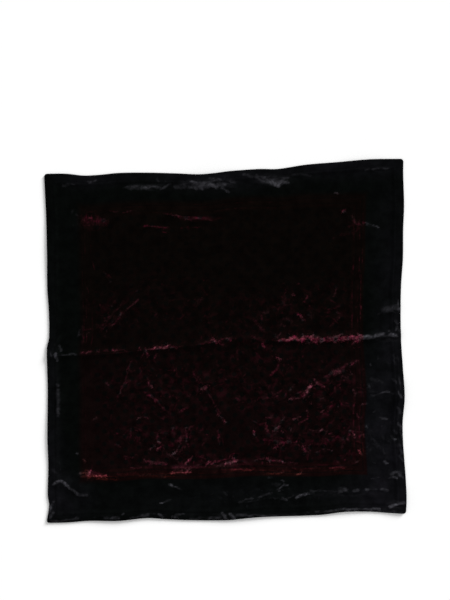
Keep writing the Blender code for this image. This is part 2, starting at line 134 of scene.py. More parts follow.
# Sharp little creases over those forms, in millimetres from the middle.
# start x, start y, end x, end y, bow, half-width, height, painted shine along it
sharpCreases = {
    "endFade": 0.5,
    "trough": 0.35,  # the dip beside a ridge, as a share of its height
    "shineReach": 0.012,
    "lineHalfWidth": 0.0030,  # of the shine along a crease
    "offCrease": 9.0,  # half-widths beside a crease, for the underside, where none shines
    "troughPlace": 1.3,  # half-widths beside a ridge
    "crestHalfWidth": 0.0055,
    # along the half-way crease: share from the left side, height of its crest, painted shine, its
    # half-width
    "crest": [
        (0.00, 0.0003, 0.02, 0.0026),
        (0.03, 0.0007, 0.03, 0.0030),
        (0.07, 0.0005, 0.02, 0.0020),
        (0.11, 0.0007, 0.02, 0.0024),
        (0.16, 0.0006, 0.02, 0.0022),
        (0.20, 0.0005, 0.05, 0.0020),
        (0.25, 0.0006, 0.10, 0.0022),
        (0.31, 0.0008, 0.30, 0.0028),
        (0.36, 0.0006, 0.20, 0.0026),
        (0.40, 0.0003, 0.03, 0.0022),
        (0.45, 0.0005, 0.16, 0.0026),
        (0.50, 0.0005, 0.22, 0.0028),
        (0.54, 0.0002, 0.01, 0.0026),
        (0.62, 0.0003, 0.02, 0.0026),
        (0.67, 0.0007, 0.22, 0.0040),
        (0.72, 0.0010, 0.34, 0.0050),
        (0.80, 0.0011, 0.34, 0.0050),
        (0.88, 0.0011, 0.36, 0.0054),
        (0.93, 0.0009, 0.12, 0.0050),
        (0.97, 0.0007, 0.10, 0.0044),
        (1.00, 0.0003, 0.02, 0.0034),
    ],
    "rows": [
        # top border
        (-418, 394, -368, 391, 2, 5, 0.7, 0.08),
        (-356, 401, -322, 403, -1, 5, 0.6, 0.07),
        (-262, 384, -205, 390, 3, 6, 0.9, 0.13),
        (-208, 388, -148, 382, 3, 6, 0.9, 0.12),
        (-128, 386, -60, 402, 4, 7, 1.2, 0.12),
        (-92, 384, 26, 386, 6, 7, 1.2, 0.15),
        (-30, 404, 40, 396, 3, 6, 0.9, 0.10),
        (72, 414, 132, 388, -3, 6, 1.1, 0.13),
        (130, 388, 168, 414, -3, 6, 1.1, 0.12),
        (84, 398, 120, 392, 1, 5, 0.7, 0.11),
        (350, 428, 416, 432, 3, 5, 0.7, 0.07),
        (276, 372, 292, 368, 0, 4, 0.4, 0.06),
        # left border
        (-428, 76, -424, 24, 2, 5, 0.6, 0.04),
        (-436, -26, -412, 18, 3, 6, 0.9, 0.04),
        (-426, -28, -423, -50, 1, 5, 0.9, 0.03),
        (-424, -104, -423, -146, 1, 5, 0.9, 0.01),
        (-423, -142, -422, -190, -1, 5, 0.8, 0.01),
        (-441, -364, -412, -350, 3, 6, 1.0, 0.12),
        (-414, -350, -368, -388, 2, 6, 1.2, 0.15),
        (-372, -388, -340, -386, -2, 6, 1.0, 0.12),
        (-446, -432, -430, -418, 2, 6, 1.0, 0.12),
        (-420, -300, -414, -338, 1, 5, 0.5, 0.04),
        # right border
        (390, 68, 408, 86, 2, 7, 1.2, 0.09),
        (404, 84, 440, 90, 3, 7, 1.2, 0.11),
        (392, 70, 438, 66, 6, 6, 0.8, 0.05),
        (352, -132, 442, -140, 7, 5, 0.8, 0.07),
        (430, -30, 436, -92, 2, 5, 0.7, 0.06),
        (438, -150, 434, -214, -2, 5, 0.7, 0.05),
        (432, -238, 442, -300, 3, 5, 0.7, 0.06),
        (414, -338, 448, -326, 2, 6, 1.0, 0.15),
        (400, -350, 432, -344, 2, 5, 0.8, 0.09),
        (410, -424, 452, -408, 3, 7, 1.2, 0.19),
        (366, -306, 392, -312, 1, 5, 0.6, 0.06),
        (396, -244, 420, -262, 2, 5, 0.6, 0.04),
        (356, 300, 386, 284, -2, 5, 0.6, 0.07),
        # bottom border
        (24, -406, 92, -398, -3, 5, 0.9, 0.09),
        (92, -398, 152, -402, 4, 5, 0.9, 0.08),
        (148, -402, 196, -384, 3, 5, 0.9, 0.11),
        (192, -388, 226, -378, -2, 5, 0.8, 0.09),
        (224, -379, 292, -382, 3, 5, 0.9, 0.11),
        (286, -380, 350, -376, -3, 5, 0.9, 0.10),
        (344, -378, 408, -376, 3, 5, 0.9, 0.11),
        (-138, -360, -106, -376, -2, 5, 0.8, 0.09),
        (-166, -412, -136, -403, 2, 5, 0.7, 0.06),
        (120, -364, 142, -372, 1, 5, 0.6, 0.05),
        (-226, -441, -146, -438, 4, 5, 0.7, 0.11),
        (-350, -448, -260, -444, 4, 5, 0.6, 0.06),
        (-70, -442, 14, -446, -4, 5, 0.8, 0.13),
        (10, -447, 104, -440, 4, 5, 0.8, 0.15),
        (100, -440, 196, -434, -3, 5, 0.7, 0.13),
        (190, -434, 270, -432, 4, 5, 0.7, 0.14),
        (266, -432, 340, -426, -3, 5, 0.7, 0.12),
        (336, -425, 412, -424, 3, 5, 0.8, 0.15),
        # upper field
        (-152, 318, -108, 312, 2, 5, 0.8, 0.19),
        (-112, 312, -30, 302, 2, 5, 0.9, 0.26),
        (-212, 288, -144, 282, 2, 5, 0.8, 0.18),
        (-164, 276, -146, 270, 1, 5, 0.5, 0.11),
        (-116, 282, -90, 286, 2, 5, 0.5, 0.11),
        (-252, 324, -222, 328, 1, 5, 0.6, 0.16),
        (-300, 326, -266, 324, 1, 5, 0.5, 0.11),
        (-352, 320, -346, 284, 1, 5, 0.6, 0.16),
        (-338, 322, -334, 286, -1, 5, 0.6, 0.14),
        (-322, 318, -320, 288, 1, 5, 0.6, 0.11),
        (288, 330, 300, 320, 0, 5, 0.6, 0.18),
        (314, 304, 334, 290, 1, 6, 0.7, 0.18),
        (332, 298, 348, 282, 1, 5, 0.6, 0.14),
        (262, 252, 276, 262, 0, 5, 0.4, 0.08),
        (-338, 204, -330, 176, 1, 5, 0.5, 0.07),
        (-302, 164, -290, 146, 1, 5, 0.5, 0.11),
        (-350, 136, -344, 112, 1, 5, 0.4, 0.07),
        (338, 104, 341, 72, 1, 4, 0.6, 0.19),
        (336, 190, 338, 140, 1, 4, 0.4, 0.07),
        # either side of the half-way crease
        (-306, 36, -262, 88, 3, 6, 0.8, 0.10),
        (-292, 40, -218, 102, 3, 6, 0.9, 0.13),
        (-366, 24, -330, 28, 2, 5, 0.7, 0.10),
        (-326, 34, -300, 26, 2, 5, 0.7, 0.08),
        (-66, 96, -58, 108, 0, 5, 0.5, 0.08),
        (92, 30, 94, 72, 2, 5, 0.6, 0.08),
        (128, 64, 138, 88, 1, 5, 0.6, 0.08),
        (186, 54, 216, 66, 3, 5, 0.7, 0.10),
        (226, 142, 240, 122, 1, 5, 0.5, 0.06),
        (262, 60, 286, 40, 2, 5, 0.6, 0.08),
        (96, 6, 104, -28, 2, 5, 0.6, 0.08),
        # lower field
        (-238, -52, -276, -150, 4, 6, 1.0, 0.10),
        (-276, -150, -298, -214, 2, 6, 0.8, 0.05),
        (-88, -66, -54, -118, 2, 6, 1.0, 0.10),
        (-56, -116, -24, -168, 2, 6, 1.0, 0.12),
        (-26, -166, -2, -202, 2, 6, 1.0, 0.14),
        (-200, -90, -188, -114, 1, 6, 0.8, 0.11),
        (-198, -134, -158, -168, 3, 6, 0.8, 0.09),
        (-160, -168, -136, -194, 2, 6, 0.8, 0.07),
        (-112, -136, -134, -178, 2, 5, 0.6, 0.06),
        (134, -42, 130, -68, 3, 6, 0.9, 0.10),
        (132, -66, 112, -88, 3, 6, 0.9, 0.10),
        (168, -140, 208, -124, 3, 7, 1.1, 0.14),
        (200, -128, 244, -100, 2, 6, 0.9, 0.09),
        (222, -96, 262, -112, 2, 5, 0.7, 0.07),
        (262, -86, 300, -66, 3, 7, 1.1, 0.12),
        (290, -76, 332, -46, 3, 6, 0.9, 0.10),
        (114, -212, 142, -236, 3, 6, 0.9, 0.13),
        (96, -246, 168, -250, 4, 6, 0.9, 0.12),
        (120, -262, 150, -282, 2, 6, 0.8, 0.09),
        (60, -198, 88, -214, 2, 5, 0.7, 0.07),
        (180, -222, 232, -230, 3, 5, 0.7, 0.08),
        (206, -262, 214, -286, 1, 5, 0.7, 0.09),
        (300, -226, 360, -238, 4, 5, 0.8, 0.10),
        (318, -252, 352, -262, 2, 5, 0.7, 0.09),
        (334, -276, 346, -292, 1, 5, 0.7, 0.10),
        (-184, -230, -170, -262, 3, 6, 0.8, 0.09),
        (-168, -262, -132, -278, 3, 6, 0.8, 0.09),
        (-126, -282, -108, -254, 2, 6, 0.8, 0.11),
        (-110, -256, -92, -240, 2, 5, 0.7, 0.08),
        (-216, -200, -196, -190, 1, 5, 0.6, 0.06),
        (-262, -246, -240, -262, 1, 5, 0.6, 0.06),
        (-14, -236, -6, -266, 2, 5, 0.6, 0.07),
        # along the printed frame at the foot of the field
        (-364, -334, -296, -343, -2, 6, 1.0, 0.32),
        (-358, -326, -330, -330, 1, 5, 0.6, 0.19),
        (-298, -342, -268, -344, 1, 5, 0.6, 0.13),
        (-208, -306, -150, -308, 2, 5, 0.8, 0.18),
        (-134, -326, -88, -316, 2, 6, 1.0, 0.08),
        (-132, -314, -94, -308, 1, 5, 0.7, 0.06),
        (-86, -318, -20, -302, 2, 5, 0.9, 0.12),
        (-40, -312, 28, -294, 3, 6, 0.9, 0.27),
        (-10, -326, 62, -324, 2, 5, 0.7, 0.16),
        (70, -292, 118, -304, 3, 5, 0.8, 0.18),
        (100, -298, 168, -306, -3, 5, 0.8, 0.19),
        (150, -318, 198, -330, 2, 5, 0.7, 0.13),
        (256, -322, 306, -318, 1, 5, 0.7, 0.16),
    ],
}

# Places where the pile is bent and catches the light, in millimetres from the
# middle: start x, start y, end x, end y, half-width, brightness as seen, share of grey in it
# painted highlights: each row is a mark of light painted into the velvet's colour
paintedPileHighlights = {
    "seenPower": 2.2,
    "brightest": 0.84,
    "widthShare": 0.90,  # of the half-widths below, since a mark's edge is broken up
    "narrowest": 3.1,
    "wander": 2.6,  # how far a mark strays from its line
    "wanderScale": 95.0,
    "rows": [
        # along the half-way crease, from the left
        (-365, -30, -338, -28, 5.0, 0.55, 0.3),
        (-325, -25, -318, -25, 4.5, 0.45, 0.2),
        (-307, -26, -297, -24, 5.0, 0.40, 0.2),
        (-285, -24, -275, -24, 5.5, 0.70, 0.3),
        (-270, -24, -249, -24, 4.0, 0.30, 0.1),
        (-217, -16, -212, -24, 4.0, 0.45, 0.2),
        (-203, -21, -195, -39, 5.0, 0.62, 0.4),
        (-212, -42, -204, -26, 4.0, 0.42, 0.2),
        (-183, -21, -176, -16, 5.5, 0.85, 0.3),
        (-179, -42, -175, -32, 5.0, 0.50, 0.2),
        (-171, -18, -154, -15, 6.0, 0.70, 0.3),
        (-154, -19, -144, -14, 5.5, 0.95, 0.6),
        (-136, -13, -123, -19, 5.5, 0.42, 0.2),
        (-66, -6, -38, -1, 5.0, 0.30, 0.1),
        (-33, 4, -23, -3, 6.6, 0.75, 0.3),
        (-15, -1, -5, -11, 6.6, 0.40, 0.2),
        (3, 6, 13, 1, 5.5, 0.60, 0.2),
        (68, 11, 98, -1, 10.1, 0.30, 0.1),
        (93, -6, 98, -16, 5.5, 0.70, 0.2),
        (123, 16, 131, 6, 5.0, 0.40, 0.9),
        (131, 9, 139, 19, 4.5, 0.40, 0.8),
        (134, 1, 151, 5, 6.6, 0.66, 0.1),
        (155, -1, 166, 6, 8.6, 1.00, 0.1),
        (172, 10, 183, 2, 8.0, 0.95, 0.0),
        (191, 0, 199, 9, 8.0, 0.95, 0.0),
        (194, 10, 222, 11, 6.0, 0.92, 0.4),
        (212, 9, 227, -4, 8.4, 0.95, 0.0),
        (202, -4, 212, -6, 6.0, 0.45, 1.0),
        (224, 11, 237, 10, 4.5, 0.60, 0.9),
        (229, 3, 257, 1, 8.4, 0.78, 0.1),
        (240, 0, 242, -4, 4.2, 0.70, 0.9),
        (260, 8, 295, 17, 4.5, 0.65, 0.9),
        (257, 1, 272, 4, 7.4, 0.70, 0.0),
        (272, -1, 285, 1, 6.6, 0.66, 0.6),
        (287, 3, 315, 8, 10.6, 1.00, 0.1),
        (318, 9, 335, 4, 11.6, 1.00, 0.1),
        (323, -6, 330, 4, 7.2, 0.90, 0.0),
        (335, 16, 345, 6, 6.6, 0.75, 0.6),
        (340, 8, 372, 10, 11.0, 0.72, 1.0),
        (370, 11, 396, 17, 9.5, 0.68, 1.0),
        (415, 15, 428, 13, 9.5, 0.80, 1.0),
        (428, 24, 431, 37, 3.5, 0.50, 1.0),
        # above the crease on the left
        (-305, 170, -290, 160, 7.6, 0.28, 0.1),
        (-295, 147, -287, 150, 4.5, 0.29, 0.9),
        (-333, 125, -323, 122, 4.0, 0.20, 0.5),
        (-234, 92, -219, 103, 4.5, 0.43, 0.6),
        (-252, 74, -242, 84, 4.5, 0.28, 0.4),
        (-282, 74, -270, 82, 4.5, 0.23, 0.5),
        (-266, 82, -263, 94, 3.5, 0.23, 0.6),
        (-275, 49, -262, 69, 5.0, 0.45, 0.3),
        (-287, 39, -275, 47, 5.5, 0.48, 0.3),
        (-299, 49, -292, 63, 3.8, 0.37, 0.6),
        (-315, 24, -300, 39, 5.0, 0.34, 0.2),
        (-305, 9, -300, 26, 4.0, 0.28, 0.8),
        (-350, 18, -345, 20, 4.0, 0.49, 0.9),
        (-372, 11, -368, 26, 5.0, 0.41, 0.5),
        (-360, 36, -359, -8, 8.0, 0.23, 0.0),
        (-180, 59, -175, 67, 5.5, 0.31, 0.6),
        (-68, 94, -58, 107, 5.5, 0.34, 0.7),
        (-144, 102, -103, 105, 5.5, 0.16, 0.2),
        (-224, 54, -219, 37, 6.6, 0.20, 0.1),
        (-305, 299, -355, 301, 17.6, 0.34, 0.0),
        (-156, 321, -118, 314, 4.0, 0.42, 0.4),
        (-121, 314, -86, 304, 4.3, 0.48, 0.4),
        (-207, 291, -144, 284, 4.3, 0.36, 0.1),
        (-257, 324, -232, 321, 3.5, 0.32, 0.2),
        (-98, 284, -63, 286, 5.0, 0.26, 0.0),
        # above it on the right
        (73, 52, 93, 26, 8.8, 0.32, 0.5),
        (89, 64, 91, 49, 4.5, 0.30, 0.3),
        (93, 72, 108, 72, 5.0, 0.32, 0.9),
        (151, 127, 149, 102, 4.5, 0.36, 0.2),
        (149, 89, 164, 92, 4.5, 0.36, 0.5),
        (154, 57, 161, 49, 6.0, 0.32, 0.7),
        (141, 42, 149, 37, 5.5, 0.40, 0.7),
        (170, 116, 175, 115, 4.3, 0.60, 0.6),
        (181, 142, 186, 146, 5.0, 0.38, 0.3),
        (197, 97, 207, 112, 4.3, 0.42, 0.3),
        (184, 67, 198, 52, 5.5, 0.72, 0.2),
        (214, 72, 217, 52, 5.0, 0.24, 0.8),
        (272, 112, 280, 130, 6.0, 0.34, 0.6),
        (280, 72, 287, 69, 5.0, 0.42, 0.3),
        (282, 54, 287, 59, 4.5, 0.40, 0.6),
        (265, 37, 275, 49, 5.5, 0.36, 0.1),
        (108, 102, 108, 92, 3.5, 0.28, 0.8),
        (294, 325, 301, 328, 5.5, 0.62, 0.4),
        (318, 314, 328, 301, 5.5, 0.42, 0.8),
        (325, 299, 335, 291, 5.0, 0.50, 0.1),
        (348, 299, 358, 294, 5.5, 0.48, 0.2),
        (355, 291, 370, 289, 6.6, 0.30, 0.9),
        (373, 292, 386, 285, 3.0, 0.60, 1.0),
        (290, 268, 320, 271, 7.6, 0.20, 0.1),
        # below it on the left
        (-238, -52, -248, -74, 4.5, 0.44, 0.3),
        (-247, -77, -253, -107, 4.0, 0.30, 0.5),
        (-239, -100, -262, -115, 4.5, 0.38, 0.1),
        (-257, -110, -271, -142, 5.0, 0.44, 0.3),
        (-302, -107, -295, -112, 4.5, 0.45, 0.8),
        (-198, -92, -193, -105, 4.5, 0.45, 0.1),
        (-194, -105, -185, -117, 4.8, 0.85, 0.6),
        (-195, -137, -174, -150, 7.1, 0.58, 0.2),
        (-176, -150, -156, -171, 6.0, 0.52, 0.2),
        (-125, -69, -123, -89, 4.5, 0.28, 0.1),
        (-82, -77, -67, -106, 4.3, 0.47, 0.3),
        (-60, -122, -50, -117, 6.6, 0.92, 0.6),
        (-50, -127, -38, -142, 4.5, 0.32, 0.6),
        (-26, -163, -16, -189, 3.8, 0.62, 0.4),
        (-20, -183, 0, -207, 4.3, 0.64, 0.4),
        (-223, -197, -215, -193, 4.0, 0.65, 1.0),
        (-205, -192, -194, -195, 5.0, 0.42, 0.3),
        (-333, -198, -325, -194, 3.3, 0.42, 1.0),
        (-113, -178, -94, -166, 6.0, 0.44, 0.2),
        (-144, -132, -139, -142, 5.0, 0.32, 0.1),
        (-93, -140, -88, -135, 5.0, 0.32, 0.2),
        (-239, -220, -239, -246, 4.5, 0.46, 0.2),
        (-166, -223, -174, -246, 4.5, 0.36, 0.3),
        (-136, -231, -131, -220, 6.0, 0.47, 0.2),
        (-100, -220, -98, -256, 5.0, 0.44, 0.3),
        (-98, -256, -91, -268, 4.5, 0.42, 0.2),
        (-93, -220, -78, -213, 5.0, 0.40, 0.2),
        (-117, -253, -110, -244, 7.1, 0.58, 0.2),
        (-170, -253, -166, -258, 4.8, 0.66, 0.3),
        (-171, -273, -164, -268, 5.8, 0.92, 0.4),
        (-190, -275, -175, -263, 3.8, 0.52, 1.0),
        (-132, -286, -122, -276, 4.5, 0.75, 0.9),
        (-116, -281, -111, -273, 5.5, 0.52, 0.2),
        (-154, -278, -121, -300, 3.8, 0.38, 0.9),
        (-19, -228, -15, -256, 5.5, 0.47, 0.2),
        (-58, -263, -50, -251, 4.3, 0.32, 0.3),
        (-284, -256, -265, -268, 4.0, 0.38, 0.3),
        (-255, -292, -229, -294, 4.5, 0.34, 0.2),
        # below it on the right
        (129, -42, 137, -47, 5.5, 0.74, 0.4),
        (135, -49, 132, -69, 5.0, 0.34, 0.3),
        (131, -69, 112, -88, 5.3, 0.48, 0.1),
        (208, -122, 214, -113, 6.6, 0.95, 0.5),
        (199, -139, 208, -121, 6.8, 0.98, 0.7),
        (163, -147, 171, -144, 5.8, 0.86, 0.5),
        (171, -142, 184, -145, 4.5, 0.52, 0.8),
        (189, -142, 199, -130, 6.0, 0.47, 0.1),
        (161, -127, 171, -112, 4.5, 0.42, 0.9),
        (220, -94, 228, -108, 4.5, 0.62, 0.7),
        (228, -106, 249, -116, 5.8, 0.64, 0.2),
        (270, -81, 295, -73, 11.6, 0.62, 0.5),
        (290, -72, 305, -57, 6.0, 0.52, 0.3),
        (314, -64, 331, -48, 5.0, 0.57, 0.4),
        (292, -92, 294, -88, 3.8, 0.55, 1.0),
        (302, -93, 307, -91, 4.0, 0.60, 0.9),
        (249, -92, 267, -83, 7.1, 0.34, 0.4),
        (314, -77, 319, -84, 3.0, 0.45, 0.9),
        (321, -123, 328, -132, 4.5, 0.50, 0.9),
        (26, -145, 35, -150, 5.5, 0.38, 0.4),
        (94, -147, 106, -145, 5.0, 0.34, 0.4),
        (113, -130, 136, -147, 9.6, 0.30, 0.5),
        (213, -154, 215, -159, 3.5, 0.65, 0.5),
        (204, -176, 207, -180, 3.5, 0.70, 0.5),
        (207, -180, 208, -190, 4.5, 0.36, 0.0),
        (242, -180, 247, -174, 4.5, 0.55, 0.5),
        (244, -183, 260, -185, 5.0, 0.36, 0.0),
        (238, -145, 246, -145, 4.0, 0.34, 0.9),
        (345, -160, 353, -159, 6.0, 0.55, 0.5),
        (323, -158, 323, -183, 3.8, 0.44, 0.2),
        (331, -183, 335, -193, 4.8, 0.54, 0.4),
        (102, -195, 115, -192, 4.8, 0.56, 0.5),
        (142, -200, 151, -188, 3.5, 0.42, 0.9),
        (170, -197, 188, -192, 4.3, 0.90, 0.6),
        (185, -209, 207, -195, 4.0, 0.50, 0.2),
        (86, -212, 96, -208, 4.5, 0.44, 0.1),
        (100, -208, 108, -233, 5.5, 0.52, 0.1),
        (121, -227, 134, -217, 6.3, 0.76, 0.8),
        (125, -220, 129, -228, 4.0, 0.78, 0.8),
        (142, -227, 145, -231, 3.5, 0.60, 0.5),
        (160, -217, 165, -226, 4.0, 0.50, 0.9),
        (71, -227, 72, -238, 5.3, 0.82, 0.4),
        (212, -227, 229, -228, 4.0, 0.52, 0.6),
        (236, -226, 244, -223, 4.0, 0.70, 0.9),
        (244, -226, 257, -226, 3.8, 0.38, 0.8),
        (260, -234, 267, -232, 4.0, 0.85, 0.6),
        (307, -248, 314, -226, 7.1, 0.50, 0.4),
        (321, -228, 326, -244, 4.8, 0.82, 0.4),
        (335, -244, 343, -236, 6.0, 0.57, 0.1),
        (346, -234, 350, -242, 4.8, 0.82, 0.4),
        (98, -248, 164, -255, 6.6, 0.46, 0.1),
        (141, -257, 159, -252, 4.0, 0.66, 0.3),
        (130, -261, 135, -251, 4.5, 0.52, 0.9),
        (122, -270, 131, -266, 5.5, 0.82, 0.3),
        (174, -256, 181, -251, 4.3, 0.56, 0.2),
        (195, -267, 204, -281, 6.0, 0.82, 0.4),
        (207, -271, 213, -261, 4.5, 0.42, 0.1),
        (229, -280, 236, -277, 3.8, 0.52, 0.3),
        (248, -272, 271, -277, 3.3, 0.52, 0.9),
        (336, -277, 340, -286, 4.8, 0.85, 0.3),
        (292, -276, 297, -246, 5.5, 0.32, 0.5),
        (328, -306, 335, -304, 4.0, 0.46, 0.9),
        # along the printed frame at the foot of the field
        (-346, -339, -340, -328, 5.5, 1.00, 0.3),
        (-345, -342, -300, -340, 5.8, 0.92, 0.1),
        (-368, -334, -345, -334, 4.5, 0.52, 0.5),
        (-325, -348, -270, -349, 4.0, 0.48, 0.0),
        (-270, -336, -149, -339, 10.1, 0.30, 0.0),
        (-166, -343, -149, -343, 3.3, 0.46, 0.9),
        (-242, -319, -212, -319, 3.3, 0.46, 0.3),
        (-204, -302, -149, -311, 6.6, 0.52, 0.4),
        (-190, -309, -179, -307, 4.5, 0.58, 0.6),
        (-139, -333, -88, -331, 4.0, 0.95, 0.3),
        (-134, -319, -91, -319, 3.2, 0.60, 0.4),
        (-129, -329, -129, -322, 3.1, 0.42, 0.6),
        (-119, -329, -119, -322, 3.1, 0.46, 0.6),
        (-109, -329, -109, -322, 3.1, 0.44, 0.6),
        (-100, -329, -100, -322, 3.1, 0.46, 0.6),
        (-96, -328, -89, -319, 4.8, 0.80, 0.3),
        (-102, -310, -94, -301, 5.0, 0.90, 0.3),
        (-93, -306, -83, -291, 4.0, 0.52, 0.3),
        (-88, -320, -63, -318, 3.8, 0.52, 0.3),
        (-49, -312, -42, -305, 5.0, 0.95, 0.4),
        (-35, -309, -25, -305, 4.8, 0.76, 0.2),
        (-73, -289, -55, -294, 5.5, 0.42, 0.1),
        (-23, -316, 3, -315, 3.0, 0.50, 1.0),
        (-3, -310, 13, -305, 5.0, 0.88, 0.5),
        (10, -309, 28, -302, 5.5, 0.92, 0.6),
        (18, -294, 25, -305, 4.8, 0.92, 0.2),
        (10, -291, 20, -284, 5.5, 0.42, 0.0),
        (73, -300, 98, -296, 3.5, 0.52, 0.6),
        (105, -295, 110, -305, 5.0, 0.86, 0.2),
        (113, -301, 136, -302, 3.8, 0.52, 0.4),
        (139, -302, 146, -307, 4.5, 0.92, 0.4),
        (149, -307, 181, -309, 6.0, 0.36, 0.4),
        (15, -325, 68, -325, 3.8, 0.56, 0.0),
        (108, -336, 151, -330, 4.5, 0.46, 0.2),
        (179, -336, 189, -335, 5.0, 0.66, 0.5),
        (108, -344, 118, -344, 5.0, 0.36, 1.0),
        (189, -324, 237, -320, 4.5, 0.38, 0.0),
        (262, -320, 300, -321, 4.0, 0.62, 0.1),
        # top border
        (-408, 391, -393, 393, 6.0, 0.40, 1.0),
        (-388, 392, -380, 394, 4.5, 0.34, 1.0),
        (-345, 400, -334, 400, 5.5, 0.44, 1.0),
        (-388, 322, -383, 330, 6.5, 0.26, 1.0),
        (-376, 318, -374, 317, 4.5, 0.40, 1.0),
        (-334, 400, -325, 403, 4.5, 0.52, 1.0),
        (-246, 386, -214, 385, 11.0, 0.42, 1.0),
        (-202, 385, -192, 387, 9.0, 0.62, 1.0),
        (-192, 387, -167, 386, 7.0, 0.46, 1.0),
        (-173, 408, -169, 402, 6.5, 0.36, 1.0),
        (-165, 380, -160, 382, 4.5, 0.46, 1.0),
        (-158, 382, -150, 390, 5.5, 0.44, 1.0),
        (-150, 390, -139, 395, 5.5, 0.44, 1.0),
        (-124, 389, -94, 391, 14.0, 0.38, 1.0),
        (-86, 401, -62, 396, 6.0, 0.64, 1.0),
        (-90, 387, -60, 385, 10.0, 0.58, 1.0),
        (-76, 393, -44, 391, 14.0, 0.60, 1.0),
        (-42, 396, -22, 388, 10.0, 0.78, 1.0),
        (-38, 408, -14, 404, 9.0, 0.44, 1.0),
        (-20, 394, 0, 394, 10.0, 0.48, 1.0),
        (-9, 386, 8, 375, 6.0, 0.54, 1.0),
        (13, 403, 24, 398, 8.5, 0.46, 1.0),
        (46, 419, 66, 414, 7.5, 0.40, 1.0),
        (78, 413, 96, 403, 12.0, 0.36, 1.0),
        (92, 412, 118, 402, 9.0, 0.44, 1.0),
        (108, 403, 132, 400, 11.0, 0.34, 1.0),
        (116, 399, 130, 392, 10.5, 0.62, 1.0),
        (124, 392, 134, 390, 7.5, 0.86, 1.0),
        (132, 395, 142, 402, 9.0, 0.60, 1.0),
        (143, 408, 160, 410, 5.5, 0.50, 1.0),
        (144, 401, 160, 398, 6.5, 0.54, 1.0),
        (168, 418, 190, 419, 8.0, 0.26, 1.0),
        (188, 419, 214, 415, 6.5, 0.30, 1.0),
        (276, 373, 284, 370, 5.0, 0.52, 1.0),
        (352, 431, 362, 432, 5.5, 0.46, 1.0),
        (370, 432, 384, 433, 5.0, 0.50, 1.0),
        (398, 433, 410, 434, 5.0, 0.46, 1.0),
        # left border
        (-440, -30, -436, -40, 4.5, 0.42, 1.0),
        (-428, -33, -424, -50, 7.5, 0.64, 1.0),
        (-420, -12, -413, -24, 6.5, 0.40, 1.0),
        (-412, -35, -386, -34, 3.8, 0.44, 1.0),
        (-383, -32, -377, -34, 4.8, 0.44, 1.0),
        (-426, -110, -421, -112, 4.5, 0.46, 1.0),
        (-422, -124, -421, -160, 7.5, 0.30, 1.0),
        (-422, -172, -421, -186, 7.5, 0.46, 1.0),
        (-436, -324, -426, -332, 7.5, 0.30, 1.0),
        (-374, -283, -371, -285, 4.5, 0.50, 1.0),
        (-358, -298, -355, -306, 5.5, 0.42, 0.8),
        (-433, -361, -417, -353, 7.0, 0.64, 1.0),
        (-415, -353, -406, -358, 6.5, 0.78, 1.0),
        (-407, -357, -385, -377, 6.5, 0.84, 1.0),
        (-385, -376, -371, -387, 7.5, 0.64, 1.0),
        (-372, -387, -350, -389, 8.5, 0.52, 1.0),
        (-438, -416, -433, -405, 6.5, 0.44, 1.0),
        (-443, -430, -440, -418, 8.5, 0.66, 1.0),
        (-442, -446, -434, -434, 7.5, 0.48, 1.0),
        # right border
        (433, 104, 436, 74, 4.5, 0.44, 1.0),
        (430, 78, 440, 82, 5.5, 0.56, 1.0),
        (398, 76, 428, 84, 14.0, 0.40, 1.0),
        (385, 68, 398, 72, 5.5, 0.32, 1.0),
        (428, 52, 433, 44, 5.5, 0.42, 1.0),
        (432, 34, 436, 24, 5.5, 0.40, 1.0),
        (412, 26, 415, 21, 4.5, 0.52, 1.0),
        (384, -38, 386, -46, 4.5, 0.32, 1.0),
        (422, -38, 428, -44, 4.5, 0.36, 1.0),
        (423, -48, 430, -60, 5.5, 0.27, 1.0),
        (365, -58, 367, -63, 4.0, 0.46, 1.0),
        (437, -88, 441, -122, 4.0, 0.42, 1.0),
        (420, -96, 430, -104, 6.5, 0.36, 1.0),
        (368, -96, 382, -100, 9.0, 0.27, 1.0),
        (388, -100, 396, -105, 4.5, 0.40, 1.0),
        (360, -109, 364, -118, 4.0, 0.46, 1.0),
        (434, -127, 442, -142, 4.8, 0.62, 1.0),
        (396, -131, 411, -127, 4.0, 0.58, 1.0),
        (366, -138, 394, -132, 4.0, 0.34, 1.0),
        (434, -168, 440, -182, 7.5, 0.40, 1.0),
        (370, -182, 377, -177, 4.0, 0.44, 1.0),
        (390, -193, 396, -196, 4.0, 0.42, 1.0),
        (396, -197, 408, -197, 4.5, 0.58, 1.0),
        (436, -210, 444, -220, 7.5, 0.58, 1.0),
        (354, -214, 357, -220, 4.5, 0.50, 0.9),
        (424, -225, 430, -232, 6.5, 0.32, 1.0),
        (440, -226, 444, -244, 5.5, 0.42, 1.0),
        (394, -240, 398, -248, 5.5, 0.32, 1.0),
        (418, -240, 424, -250, 6.5, 0.40, 1.0),
        (424, -246, 430, -248, 4.5, 0.62, 1.0),
        (380, -258, 388, -270, 10.0, 0.25, 1.0),
        (436, -262, 446, -282, 9.0, 0.38, 1.0),
        (396, -274, 400, -284, 5.5, 0.36, 1.0),
        (440, -290, 448, -304, 6.5, 0.44, 1.0),
        (398, -303, 402, -306, 6.5, 0.52, 1.0),
        (402, -309, 408, -309, 4.5, 0.62, 1.0),
        (416, -336, 428, -331, 7.5, 0.58, 1.0),
        (428, -330, 442, -334, 6.5, 0.70, 1.0),
        (422, -342, 430, -347, 5.5, 0.68, 1.0),
        (436, -338, 448, -344, 6.5, 0.62, 1.0),
        (368, -346, 388, -344, 4.5, 0.32, 1.0),
        (413, -418, 430, -412, 7.0, 0.76, 1.0),
        (428, -412, 448, -406, 7.5, 0.70, 1.0),
        # bottom border
        (-143, -362, -133, -367, 5.5, 0.70, 1.0),
        (-132, -367, -114, -371, 3.6, 0.46, 1.0),
        (-165, -409, -158, -409, 3.8, 0.76, 1.0),
        (-157, -406, -138, -400, 3.4, 0.30, 1.0),
        (-5, -382, 2, -388, 5.5, 0.30, 1.0),
